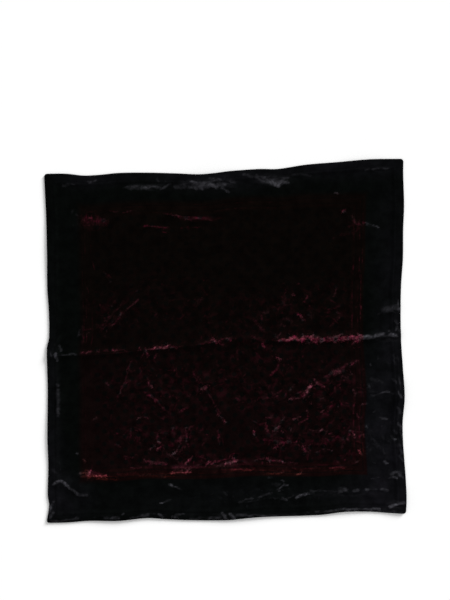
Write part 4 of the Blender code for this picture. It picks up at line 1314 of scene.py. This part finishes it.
def makeStitches(name, points, lift, tree, threadMaterial):
    path = bpy.data.meshes.new(name + "Path")
    count = len(points)
    path.from_pydata(points.tolist(), [(n, (n + 1) % count) for n in range(count)], [])
    holder = bpy.data.objects.new(name + "Path", path)
    bpy.context.scene.collection.objects.link(holder)
    modifier = holder.modifiers.new("sewing", "NODES")
    modifier.node_group = tree
    settings = {
        "Stitch pitch": hemSewing["pitch"],
        "Stitch length": hemSewing["stitchLength"],
        "Thread radius": hemSewing["threadRadius"],
        "Stitch lift": hemSewing["lift"] * lift,
        "Wander": hemSewing["wander"],
        "Seed": hemSewing["seed"],
        "Thread": threadMaterial,
    }
    for item in tree.interface.items_tree:
        if item.in_out == "INPUT" and item.name in settings:
            modifier[item.identifier] = settings[item.name]
    holder.update_tag()
    seen = holder.evaluated_get(bpy.context.evaluated_depsgraph_get())
    mesh = bpy.data.meshes.new_from_object(seen)
    mesh.name = name
    stitches = bpy.data.objects.new(name, mesh)
    bpy.context.scene.collection.objects.link(stitches)
    holder.modifiers.remove(modifier)
    bpy.data.objects.remove(holder)
    return stitches


# Finishes
def feed(tree, socket, given):
    if isinstance(given, bpy.types.NodeSocket):
        tree.links.new(given, socket)
    else:
        socket.default_value = given


def numbers(tree, operation, *given, clamp=False):
    node = tree.nodes.new("ShaderNodeMath")
    node.operation, node.use_clamp = operation, clamp
    for socket, value in zip(node.inputs, given):
        feed(tree, socket, value)
    return node.outputs[0]


def vectors(tree, operation, *given):
    node = tree.nodes.new("ShaderNodeVectorMath")
    node.operation = operation
    for socket, value in zip(node.inputs, given):
        feed(tree, socket, value)
    return node.outputs["Value" if operation in ("LENGTH", "DOT_PRODUCT") else "Vector"]


def stepped(tree, value, low, high, fromValue=0.0, toValue=1.0):
    node = tree.nodes.new("ShaderNodeMapRange")
    node.interpolation_type = "SMOOTHSTEP"
    for name, given in (("Value", value), ("From Min", low), ("From Max", high)):
        feed(tree, node.inputs[name], given)
    feed(tree, node.inputs["To Min"], fromValue)
    feed(tree, node.inputs["To Max"], toValue)
    return node.outputs["Result"]


def clouds(tree, place, scale, detail=2.0, roughness=0.5, distortion=0.0):
    node = tree.nodes.new("ShaderNodeTexNoise")
    feed(tree, node.inputs["Vector"], place)
    node.inputs["Scale"].default_value = scale
    node.inputs["Detail"].default_value = detail
    node.inputs["Roughness"].default_value = roughness
    node.inputs["Distortion"].default_value = distortion
    return node.outputs["Fac"]


def blended(tree, share, first, second, kind="MIX"):
    node = tree.nodes.new("ShaderNodeMix")
    node.data_type, node.blend_type = "RGBA", kind
    feed(tree, node.inputs[0], share)
    feed(tree, node.inputs[6], first)
    feed(tree, node.inputs[7], second)
    return node.outputs[2]


def painted(tree, name):
    node = tree.nodes.new("ShaderNodeAttribute")
    node.attribute_name = name
    return node.outputs["Fac"]


def flatMap(tree):
    node = tree.nodes.new("ShaderNodeUVMap")
    node.uv_map = "flatCloth"
    return node.outputs["UV"]


def newFinish(name):
    material = bpy.data.materials.new(name)
    material.use_nodes = True
    return material, material.node_tree, material.node_tree.nodes["Principled BSDF"]


# Distances are metres on the flat cloth, colours linear
velvetPrint = {
    "fieldLeft": 0.082,
    "fieldRight": 0.096,
    "fieldBottom": 0.108,
    "fieldTop": 0.073,
    # the print runs a little lower at the right: from where to where, and how far
    "bottomDrop": (0.46, 0.86, 0.002, 0.0145),
    "topDrop": (0.56, 0.86, 0.0, 0.0145),
    "softEdge": 0.0026,
    "softerEdge": 0.0095,  # at the left and the top
    "softerLeft": (0.10, 0.20),
    "softerTop": (0.78, 0.82),
    "wobbleScale": 210.0,
    "edgeWobble": 0.0016,
    "dotWobble": 0.0020,
    "dotEdge": 0.0012,
    "faintLeft": (0.12, 0.17),  # the frame is fainter to the left of this
    "frameWidth": 0.036,
    "frameRed": (0.0013, 0.0002, 0.0001),
    # painted highlight lines along the frame: distance inside, half-width, where its noise is read
    "shineLines": [(0.0070, 0.0026, 0.0), (0.0140, 0.0028, 2.3), (0.0288, 0.0030, 5.1)],
    "lines": [(0.0100, 0.0018, 0.55), (0.0240, 0.0018, 0.50), (0.0350, 0.0016, 0.25)],
    "dotAcross": 0.03465,
    "dotUp": 0.0340,
    "dotPlace": (0.4386, 0.2925),
    "dotRadius": 0.0060,
    "dotsInside": 0.036,
    "black": (0.0014, 0.0018, 0.0016),
    # painted sheen: the grey that the black is lifted to where it catches the light
    "sheenGreyBlack": (0.0050, 0.0047, 0.0062),
    # painted shade: the burgundy ground and its dots are painted darker towards the top and lighter at the
    # foot, for how the light falls on the pile
    "burgundyLitLow": (0.0033, 0.0015, 0.0015),
    "burgundyShadedHigh": (0.0021, 0.0014, 0.0011),
    "dotLitLow": (0.0019, 0.0016, 0.0015),
    "dotShadedHigh": (0.0016, 0.0013, 0.0011),
    # painted highlight colours: the light the bent pile catches, added to the print's colour
    "greyShine": (0.069, 0.067, 0.078),
    "crimsonShine": (0.160, 0.009, 0.036),
    "roseShine": (0.124, 0.025, 0.036),
    "paleShine": (0.150, 0.038, 0.058),
    "greyShineInField": (0.080, 0.062, 0.064),
    "emberShine": (0.155, 0.023, 0.015),
}


def inkOf(name):
    return (*velvetPrint[name], 1.0)


def fieldDistance(tree, s, t):
    # how far a place lies inside the printed field
    side = scarf["side"]
    fromLeft = numbers(tree, "SUBTRACT", s, velvetPrint["fieldLeft"])
    fromRight = numbers(tree, "SUBTRACT", side - velvetPrint["fieldRight"], s)
    fromBottom = numbers(tree, "SUBTRACT", t, velvetPrint["fieldBottom"])
    fromBottom = numbers(tree, "ADD", fromBottom, stepped(tree, s, *velvetPrint["bottomDrop"]))
    fromTop = numbers(tree, "SUBTRACT", side - velvetPrint["fieldTop"], t)
    fromTop = numbers(tree, "SUBTRACT", fromTop, stepped(tree, s, *velvetPrint["topDrop"]))
    across = numbers(tree, "MINIMUM", fromLeft, fromRight)
    up = numbers(tree, "MINIMUM", fromBottom, fromTop)
    return numbers(tree, "MINIMUM", across, up)


def dotDistance(tree, flat, shift):
    # from the nearest dot's middle; the rows lie in two grids, half a pitch apart
    pitch = (velvetPrint["dotAcross"], velvetPrint["dotUp"], 1.0)
    place = [a + b * shift for a, b in zip(velvetPrint["dotPlace"], pitch)]
    moved = vectors(tree, "SUBTRACT", flat, (*place, 0.0))
    cell = vectors(tree, "ADD", vectors(tree, "DIVIDE", moved, pitch), (0.5, 0.5, 0.0))
    centred = vectors(tree, "SUBTRACT", vectors(tree, "FRACTION", cell), (0.5, 0.5, 0.0))
    return vectors(tree, "LENGTH", vectors(tree, "MULTIPLY", centred, pitch))


def printColour(tree, flat, s, t):
    soft, softer = velvetPrint["softEdge"], velvetPrint["softerEdge"]
    fromLeft = stepped(tree, s, *velvetPrint["softerLeft"], softer, soft)
    soft = numbers(tree, "MAXIMUM", fromLeft, stepped(tree, t, *velvetPrint["softerTop"], soft, softer))
    wobble = numbers(tree, "SUBTRACT", clouds(tree, flat, velvetPrint["wobbleScale"], 1.0), 0.5)
    inside = fieldDistance(tree, s, t)
    inside = numbers(tree, "MULTIPLY_ADD", wobble, velvetPrint["edgeWobble"], inside)
    field = stepped(tree, inside, numbers(tree, "MULTIPLY", soft, -1.0), soft)
    # painted shade: the ground and the dots darken towards the top
    shadedUpward = stepped(tree, t, 0.20, 0.66)
    ground = blended(tree, shadedUpward, inkOf("burgundyLitLow"), inkOf("burgundyShadedHigh"))
    dots = numbers(tree, "MINIMUM", dotDistance(tree, flat, 0.0), dotDistance(tree, flat, 0.5))
    dots = numbers(tree, "MULTIPLY_ADD", wobble, velvetPrint["dotWobble"], dots)
    radius, blur = velvetPrint["dotRadius"], velvetPrint["dotEdge"]
    dark = stepped(tree, dots, radius - blur, radius + blur, 1.0, 0.0)
    edge, width, faintLeft = (velvetPrint[name] for name in ("dotsInside", "frameWidth", "faintLeft"))
    dark = numbers(tree, "MULTIPLY", dark, stepped(tree, inside, edge - 0.001, edge + 0.001))
    dotColour = blended(tree, shadedUpward, inkOf("dotLitLow"), inkOf("dotShadedHigh"))
    offLeft = stepped(tree, s, *faintLeft, 0.25, 1.0)
    for distance, halfWidth, amount in velvetPrint["lines"]:
        away = numbers(tree, "ABSOLUTE", numbers(tree, "SUBTRACT", inside, distance))
        line = stepped(tree, away, halfWidth * 0.5, halfWidth * 1.3, amount, 0.0)
        dark = numbers(tree, "MAXIMUM", dark, numbers(tree, "MULTIPLY", line, offLeft))
    # the frame's ground is redder, most of all at the foot
    redder = stepped(tree, inside, width - 0.002, width, 1.0, 0.0)
    redder = numbers(tree, "MULTIPLY", redder, stepped(tree, t, 0.10, 0.45, 1.0, 0.32))
    redder = numbers(tree, "MULTIPLY", redder, stepped(tree, s, *faintLeft, 0.18, 1.0))
    tint = blended(tree, redder, (0, 0, 0, 1), inkOf("frameRed"))
    ground = blended(tree, 1.0, ground, tint, "ADD")
    printed = blended(tree, dark, ground, dotColour)
    colour = blended(tree, field, inkOf("black"), printed)
    return colour, field, dark, inside


# How the painted highlights of the bent pile are made; the scales are of the noise that breaks them up
pileShine = {
    "warpScale": 22.0,
    "warpReach": 0.034,
    "pointScale": 215.0,
    "grainScale": 185.0,
    "alongScale": 74.0,
    "markSpread": 0.34,  # how softly a mark starts
    "streakScale": 84.0,
    "streakStretch": (0.34, 1.0, 1.0),
    "strokes": [(34.0, 0.0), (52.0, 3.7)],  # scale, and where the noise is read
    "strokeNarrow": 7.0,
    "strokeShare": 0.36,
    "speckScale": 72.0,
    "speckReach": (0.02, 0.30),
    "speckChance": 0.62,
    "speckShare": 1.10,
    "blotScale": 46.0,
    "blotShare": 0.15,
    "unevenScale": 24.0,
    "glintShare": 0.82,
    "offDots": -0.62,  # the black dots hardly shine, so the flecks show between them
    "creaseWobbleScale": 85.0,
    "creaseWobble": 2.4,
    "creaseBreakScale": 70.0,
    "shineStretchScale": 23.0,
    "shineBreakScale": 74.0,
    "brightest": 1.15,
    "sheenHazeScale": 20.0,
    "mottleScale": 34.0,
    "pitScale": 66.0,
    "turnScale": 96.0,  # crimson turns to rose
    "emberReach": (0.030, 0.004),  # from the field's edge
    "emberHeight": (0.22, 0.14),
}


def paintedFrameShine(tree, flat, inside):
    # broken lines of painted highlight along the printed frame
    lines = 0.0
    for distance, halfWidth, offset in velvetPrint["shineLines"]:
        away = numbers(tree, "ABSOLUTE", numbers(tree, "SUBTRACT", inside, distance))
        line = stepped(tree, away, 0.0, halfWidth, 1.0, 0.0)
        place = vectors(tree, "ADD", flat, (offset, offset, 0.0))
        stretch = stepped(tree, clouds(tree, place, pileShine["shineStretchScale"], 2.0), 0.46, 0.62)
        lines = numbers(tree, "MAXIMUM", numbers(tree, "MULTIPLY", line, stretch), lines)
    broken = clouds(tree, flat, pileShine["shineBreakScale"], 3.0, 0.6)
    broken = stepped(tree, broken, 0.40, 0.68, 0.02, 0.46)
    return numbers(tree, "MULTIPLY", numbers(tree, "MULTIPLY", lines, broken), painted(tree, "frameShineAmount"))


def crushGlintAmount(tree, flat, warped):
    # painted highlights: broken strokes, round specks and soft blots of light where the pile is crushed
    strokes = []
    for scale, offset in pileShine["strokes"]:
        place = vectors(tree, "ADD", warped, (offset, offset, 0.0))
        off = numbers(tree, "ABSOLUTE", numbers(tree, "SUBTRACT", clouds(tree, place, scale, 1.0), 0.5))
        off = numbers(tree, "MULTIPLY", off, pileShine["strokeNarrow"])
        ridge = numbers(tree, "SUBTRACT", 1.0, off, clamp=True)
        broken = stepped(tree, clouds(tree, place, scale * 1.9, 1.0), 0.53, 0.72)
        strokes.append(numbers(tree, "MULTIPLY", ridge, broken))
    stroke = numbers(tree, "POWER", numbers(tree, "MAXIMUM", *strokes), 1.3)
    cells = tree.nodes.new("ShaderNodeTexVoronoi")
    tree.links.new(warped, cells.inputs["Vector"])
    cells.inputs["Scale"].default_value = pileShine["speckScale"]
    chance = tree.nodes.new("ShaderNodeSeparateColor")
    tree.links.new(cells.outputs["Color"], chance.inputs["Color"])
    specks = stepped(tree, cells.outputs["Distance"], *pileShine["speckReach"], 1.0, 0.0)
    lucky = stepped(tree, chance.outputs["Red"], pileShine["speckChance"], 1.0)
    specks = numbers(tree, "MULTIPLY", numbers(tree, "MULTIPLY", specks, lucky), pileShine["speckShare"])
    blots = clouds(tree, warped, pileShine["blotScale"], 3.0, 0.55)
    blots = stepped(tree, blots, 0.47, 0.78, 0.0, pileShine["blotShare"])
    uneven = stepped(tree, clouds(tree, flat, pileShine["unevenScale"], 2.0, 0.6), 0.42, 0.68, 0.10, 1.0)
    stroke = numbers(tree, "MULTIPLY", stroke, pileShine["strokeShare"])
    highlightMarks = numbers(tree, "MAXIMUM", stroke, specks)
    highlightMarks = numbers(tree, "MULTIPLY_ADD", highlightMarks, uneven, blots)
    highlightMarks = numbers(tree, "MULTIPLY", highlightMarks, pileShine["glintShare"])
    return numbers(tree, "MULTIPLY", highlightMarks, painted(tree, "crushGlintAmount"))


def creaseShine(tree, flat):
    # a thin, broken line of painted highlight along each sharp crease
    wobble = numbers(tree, "SUBTRACT", clouds(tree, flat, pileShine["creaseWobbleScale"], 2.0), 0.5)
    beside = painted(tree, "creaseBeside")
    beside = numbers(tree, "MULTIPLY_ADD", wobble, pileShine["creaseWobble"], beside)
    thin = stepped(tree, numbers(tree, "ABSOLUTE", beside), 0.1, 1.0, 1.0, 0.0)
    dotted = clouds(tree, flat, pileShine["creaseBreakScale"], 2.0, 0.6)
    dotted = stepped(tree, dotted, 0.42, 0.66, 0.06, 1.0)
    return numbers(tree, "MULTIPLY", numbers(tree, "MULTIPLY", thin, dotted), painted(tree, "creaseShine"))


def shineAmount(tree, flat, inside, field, dark):
    warp = tree.nodes.new("ShaderNodeTexNoise")
    tree.links.new(flat, warp.inputs["Vector"])
    warp.inputs["Scale"].default_value = pileShine["warpScale"]
    moved = vectors(tree, "SUBTRACT", warp.outputs["Color"], (0.5, 0.5, 0.5))
    reach = pileShine["warpReach"]
    warped = vectors(tree, "MULTIPLY_ADD", moved, (reach, reach, 0.0), flat)
    # a painted highlight mark is whole at its middle and breaks up into points of painted light at its
    # edge, less in the border
    near, spread = painted(tree, "highlightNear"), pileShine["markSpread"]
    points = stepped(tree, clouds(tree, flat, pileShine["pointScale"], 2.0, 0.6), 0.32, 0.68)
    rough = numbers(tree, "MULTIPLY_ADD", field, 0.57, 0.38)
    broken = numbers(tree, "MULTIPLY", points, rough)
    broken = numbers(tree, "SUBTRACT", broken, numbers(tree, "MULTIPLY_ADD", rough, 0.5, 0.5))
    lit = stepped(tree, numbers(tree, "MULTIPLY_ADD", near, 1.25, broken), -spread, spread)
    grain = clouds(tree, warped, pileShine["grainScale"], 2.0, 0.6)
    grain = stepped(tree, grain, 0.38, 0.66, -0.68, 0.34)
    grain = numbers(tree, "MULTIPLY_ADD", grain, numbers(tree, "MULTIPLY_ADD", field, 0.6, 0.4), 1.0)
    core = numbers(tree, "MULTIPLY_ADD", numbers(tree, "POWER", near, 1.5), 0.90, 0.28)
    along = clouds(tree, warped, pileShine["alongScale"], 2.0, 0.6)
    along = stepped(tree, along, 0.36, 0.64, 0.34, 1.32)
    highlightMarks = painted(tree, "highlightShine")
    for part in (lit, grain, core, along):
        highlightMarks = numbers(tree, "MULTIPLY", highlightMarks, part)
    # painted sheen: long streaks where the pile catches the light
    stretched = vectors(tree, "MULTIPLY", warped, pileShine["streakStretch"])
    sheenStreaks = stepped(tree, clouds(tree, stretched, pileShine["streakScale"], 4.0, 0.62), 0.38, 0.78)
    sheenStreaks = numbers(tree, "MULTIPLY", sheenStreaks, painted(tree, "sheenStreakAmount"))
    offDots = numbers(tree, "MULTIPLY_ADD", dark, pileShine["offDots"], 1.0)
    crushGlints = numbers(tree, "MULTIPLY", crushGlintAmount(tree, flat, warped), offDots)
    total = highlightMarks
    for part in (paintedFrameShine(tree, flat, inside), crushGlints, creaseShine(tree, flat), sheenStreaks):
        total = numbers(tree, "ADD", total, part)
    return numbers(tree, "MINIMUM", total, pileShine["brightest"])


def roughened(tree, shader, height, strength, depth):
    node = tree.nodes.new("ShaderNodeBump")
    node.inputs["Strength"].default_value = strength
    node.inputs["Distance"].default_value = depth
    tree.links.new(height, node.inputs["Height"])
    tree.links.new(node.outputs["Normal"], shader.inputs["Normal"])


pileRelief = {
    "tuftScale": 1400.0,
    "tuftShare": 0.22,
    "crumpleScale": 120.0,
    "crumpleShare": 0.5,
    "shineShare": 0.8,  # the bent pile stands a little higher
    "strength": 0.55,
    "depth": 0.0012,
}


def pileBump(tree, shader, flat, shine):
    tufts = clouds(tree, flat, pileRelief["tuftScale"], 2.0, 0.6)
    crumple = clouds(tree, flat, pileRelief["crumpleScale"], 3.0, 0.6, 0.6)
    height = numbers(tree, "MULTIPLY", crumple, pileRelief["crumpleShare"])
    height = numbers(tree, "MULTIPLY_ADD", shine, pileRelief["shineShare"], height)
    height = numbers(tree, "MULTIPLY_ADD", tufts, pileRelief["tuftShare"], height)
    roughened(tree, shader, height, pileRelief["strength"], pileRelief["depth"])


def pileFinish():
    material, tree, shader = newFinish("crushedVelvet")
    flat = flatMap(tree)
    parts = tree.nodes.new("ShaderNodeSeparateXYZ")
    tree.links.new(flat, parts.inputs[0])
    s, t = parts.outputs["X"], parts.outputs["Y"]
    colour, field, dark, inside = printColour(tree, flat, s, t)
    # painted sheen: the black is painted greyer in stretches, as the pile catches the light there
    sheenHaze = stepped(tree, clouds(tree, flat, pileShine["sheenHazeScale"], 3.0), 0.30, 0.70, 0.55, 1.0)
    sheenHaze = numbers(tree, "MULTIPLY", sheenHaze, painted(tree, "sheenHazeAmount"))
    sheenHaze = numbers(tree, "MULTIPLY", sheenHaze, numbers(tree, "MULTIPLY_ADD", field, -0.85, 1.0))
    colour = blended(tree, sheenHaze, colour, inkOf("sheenGreyBlack"))
    mottle = clouds(tree, flat, pileShine["mottleScale"], 4.0, 0.65)
    mottle = stepped(tree, mottle, 0.30, 0.72, 0.72, 1.30)
    colour = blended(tree, 1.0, colour, mottle, "MULTIPLY")
    # painted shade: small dark pits among the crushed pile's painted glints
    shadePits = stepped(tree, clouds(tree, flat, pileShine["pitScale"], 2.0, 0.6), 0.50, 0.68, 1.0, 0.45)
    crushed = numbers(tree, "MULTIPLY", painted(tree, "crushGlintAmount"), 1.4, clamp=True)
    colour = blended(tree, crushed, colour, blended(tree, 1.0, colour, shadePits, "MULTIPLY"))
    # the painted highlight is crimson and rose, ember along the foot, paler where it is brightest
    ember = stepped(tree, inside, *pileShine["emberReach"])
    ember = numbers(tree, "MULTIPLY", ember, stepped(tree, t, *pileShine["emberHeight"]))
    turned = stepped(tree, clouds(tree, flat, pileShine["turnScale"], 2.0, 0.6), 0.38, 0.62)
    red = blended(tree, turned, inkOf("crimsonShine"), inkOf("roseShine"))
    red = blended(tree, ember, red, inkOf("emberShine"))
    red = blended(tree, numbers(tree, "MULTIPLY", dark, 0.55), red, inkOf("greyShine"))
    shine = shineAmount(tree, flat, inside, field, dark)
    red = blended(tree, stepped(tree, shine, 0.50, 1.0, 0.0, 0.45), red, inkOf("paleShine"))
    grey = numbers(tree, "MULTIPLY", painted(tree, "highlightGrey"), 0.52)
    red = blended(tree, grey, red, inkOf("greyShineInField"))
    # painted highlight: grey on the black border, red in the field, added onto the velvet's colour
    shineColour = blended(tree, field, inkOf("greyShine"), red)
    colour = blended(tree, 1.0, colour, blended(tree, 1.0, shineColour, shine, "MULTIPLY"), "ADD")
    tree.links.new(colour, shader.inputs["Base Color"])
    rough = stepped(tree, shine, 0.0, 0.6, 0.86, 0.62)
    tree.links.new(rough, shader.inputs["Roughness"])
    shader.inputs["Specular IOR Level"].default_value = 0.0
    shader.inputs["Sheen Weight"].default_value = 0.030
    shader.inputs["Sheen Roughness"].default_value = 0.35
    shader.inputs["Sheen Tint"].default_value = (0.80, 0.74, 0.80, 1.0)
    pileBump(tree, shader, flat, shine)
    return material


# The woven back, seen from underneath
wovenBack = {
    "threads": 1500.0,  # to the metre
    "threadDepth": 0.0002,
    "unevenScale": 60.0,
    "printBlur": 0.004,  # the print shows through softly
    "ground": (0.0060, 0.0060, 0.0066, 1.0),
    "throughPrint": (0.0105, 0.0050, 0.0054, 1.0),
}


def backFinish():
    material, tree, shader = newFinish("velvetBack")
    flat = flatMap(tree)
    parts = tree.nodes.new("ShaderNodeSeparateXYZ")
    tree.links.new(flat, parts.inputs[0])
    inside = fieldDistance(tree, parts.outputs["X"], parts.outputs["Y"])
    field = stepped(tree, inside, -wovenBack["printBlur"], wovenBack["printBlur"])
    colour = blended(tree, field, wovenBack["ground"], wovenBack["throughPrint"])
    uneven = clouds(tree, flat, wovenBack["unevenScale"], 4.0, 0.6)
    uneven = stepped(tree, uneven, 0.3, 0.7, 0.75, 1.25)
    colour = blended(tree, 1.0, colour, uneven, "MULTIPLY")
    waves = []
    for axis in ("X", "Y"):
        turned = numbers(tree, "MULTIPLY", parts.outputs[axis], wovenBack["threads"] * math.pi)
        waves.append(numbers(tree, "ABSOLUTE", numbers(tree, "SINE", turned)))
    weave = numbers(tree, "MULTIPLY", *waves)
    tree.links.new(blended(tree, 0.35, colour, weave, "MULTIPLY"), shader.inputs["Base Color"])
    roughened(tree, shader, weave, 0.4, wovenBack["threadDepth"])
    tree.links.new(stepped(tree, uneven, 0.75, 1.25, 0.62, 0.78), shader.inputs["Roughness"])
    shader.inputs["Specular IOR Level"].default_value = 0.12
    return material


sewingThread = {
    "twistScale": 2600.0,
    "shaded": (0.0010, 0.0011, 0.0012, 1.0),
    "lit": (0.0026, 0.0026, 0.0030, 1.0),
}


def threadFinish():
    material, tree, shader = newFinish("blackThread")
    place = tree.nodes.new("ShaderNodeTexCoord").outputs["Object"]
    twist = clouds(tree, place, sewingThread["twistScale"], 1.0)
    colour = blended(tree, stepped(tree, twist, 0.3, 0.7), sewingThread["shaded"], sewingThread["lit"])
    tree.links.new(colour, shader.inputs["Base Color"])
    tree.links.new(stepped(tree, twist, 0.3, 0.7, 0.60, 0.45), shader.inputs["Roughness"])
    shader.inputs["Specular IOR Level"].default_value = 0.02
    return material


pile, back, thread = pileFinish(), backFinish(), threadFinish()
print("finishes made: pile, woven back, thread")

square = makeSquare(pile, back)
print("square laid:", len(square.data.polygons), "faces")
hems = makeHems(pile, back)
print("hems turned under:", ", ".join(hems))

sewing = stitchTree()
faceLevel = faceHeight(np.array([velvetSquare["stitchInset"]]))[0] - hemSewing["faceSink"]
underLevel = foldedHem["groove"] - hemSewing["underSink"]
faceStitches = makeStitches("faceStitches", stitchPath(faceLevel), 1.0, sewing, thread)
underStitches = makeStitches(
    "underStitches", stitchPath(underLevel), hemSewing["underLift"], sewing, thread
)
print("hems sewn:", len(faceStitches.data.polygons), "faces of thread on the face")

# Floor, light and camera
studio = {
    "pixel": 0.00252,  # metres of the table to one pixel of the frame
    "frameHeight": 600,
    "lens": 85.0,
    "sensor": 36.0,
    "lookAt": (-0.0008, 0.1029),
    "floorSize": 12.0,
    "floorColour": (0.90, 0.90, 0.90, 1.0),
    "roomLight": 0.62,
    "keyStrength": 5.1,
    "keyElevation": 18.0,
    "keyAzimuth": 45.0,  # from +X towards +Y
    "keySoftness": 20.0,
}


def makeFloor():
    half = studio["floorSize"] / 2
    mesh = bpy.data.meshes.new("paleTable")
    corners = [(-half, -half, 0.0), (half, -half, 0.0), (half, half, 0.0), (-half, half, 0.0)]
    mesh.from_pydata(corners, [], [(0, 1, 2, 3)])
    table = bpy.data.objects.new("paleTable", mesh)
    bpy.context.scene.collection.objects.link(table)
    material, _, shader = newFinish("paleTop")
    shader.inputs["Base Color"].default_value = studio["floorColour"]
    shader.inputs["Roughness"].default_value = 1.0
    shader.inputs["Specular IOR Level"].default_value = 0.0
    mesh.materials.append(material)
    return table


def makeLights():
    world = bpy.data.worlds.new("paleRoom")
    world.use_nodes = True
    room = world.node_tree.nodes["Background"]
    room.inputs["Color"].default_value = (1.0, 1.0, 1.0, 1.0)
    room.inputs["Strength"].default_value = studio["roomLight"]
    bpy.context.scene.world = world
    key = bpy.data.lights.new("lowKey", "SUN")
    key.energy = studio["keyStrength"]
    key.angle = math.radians(studio["keySoftness"])
    lamp = bpy.data.objects.new("lowKey", key)
    up, turn = math.radians(studio["keyElevation"]), math.radians(studio["keyAzimuth"])
    towards = Vector((math.cos(up) * math.cos(turn), math.cos(up) * math.sin(turn), math.sin(up)))
    lamp.rotation_euler = towards.to_track_quat("Z", "Y").to_euler()
    bpy.context.scene.collection.objects.link(lamp)


def makeCamera():
    camera = bpy.data.cameras.new("overhead")
    camera.lens, camera.sensor_width = studio["lens"], studio["sensor"]
    height = studio["pixel"] * studio["frameHeight"] * studio["lens"] / studio["sensor"]
    eye = bpy.data.objects.new("overhead", camera)
    eye.location = (*studio["lookAt"], height)
    bpy.context.scene.collection.objects.link(eye)
    bpy.context.scene.camera = eye


table = makeFloor()
makeLights()
makeCamera()
bpy.context.scene.view_settings.view_transform = "Standard"
print("table, light and camera set")

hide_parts("velvet_square")
cadHems = {"hemBottom": "hem_bottom", "hemRight": "hem_right", "hemTop": "hem_top", "hemLeft": "hem_left"}
for name, hem in hems.items():
    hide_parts(cadHems[name])
for piece in (square, *hems.values(), faceStitches, underStitches):
    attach(piece, "root")
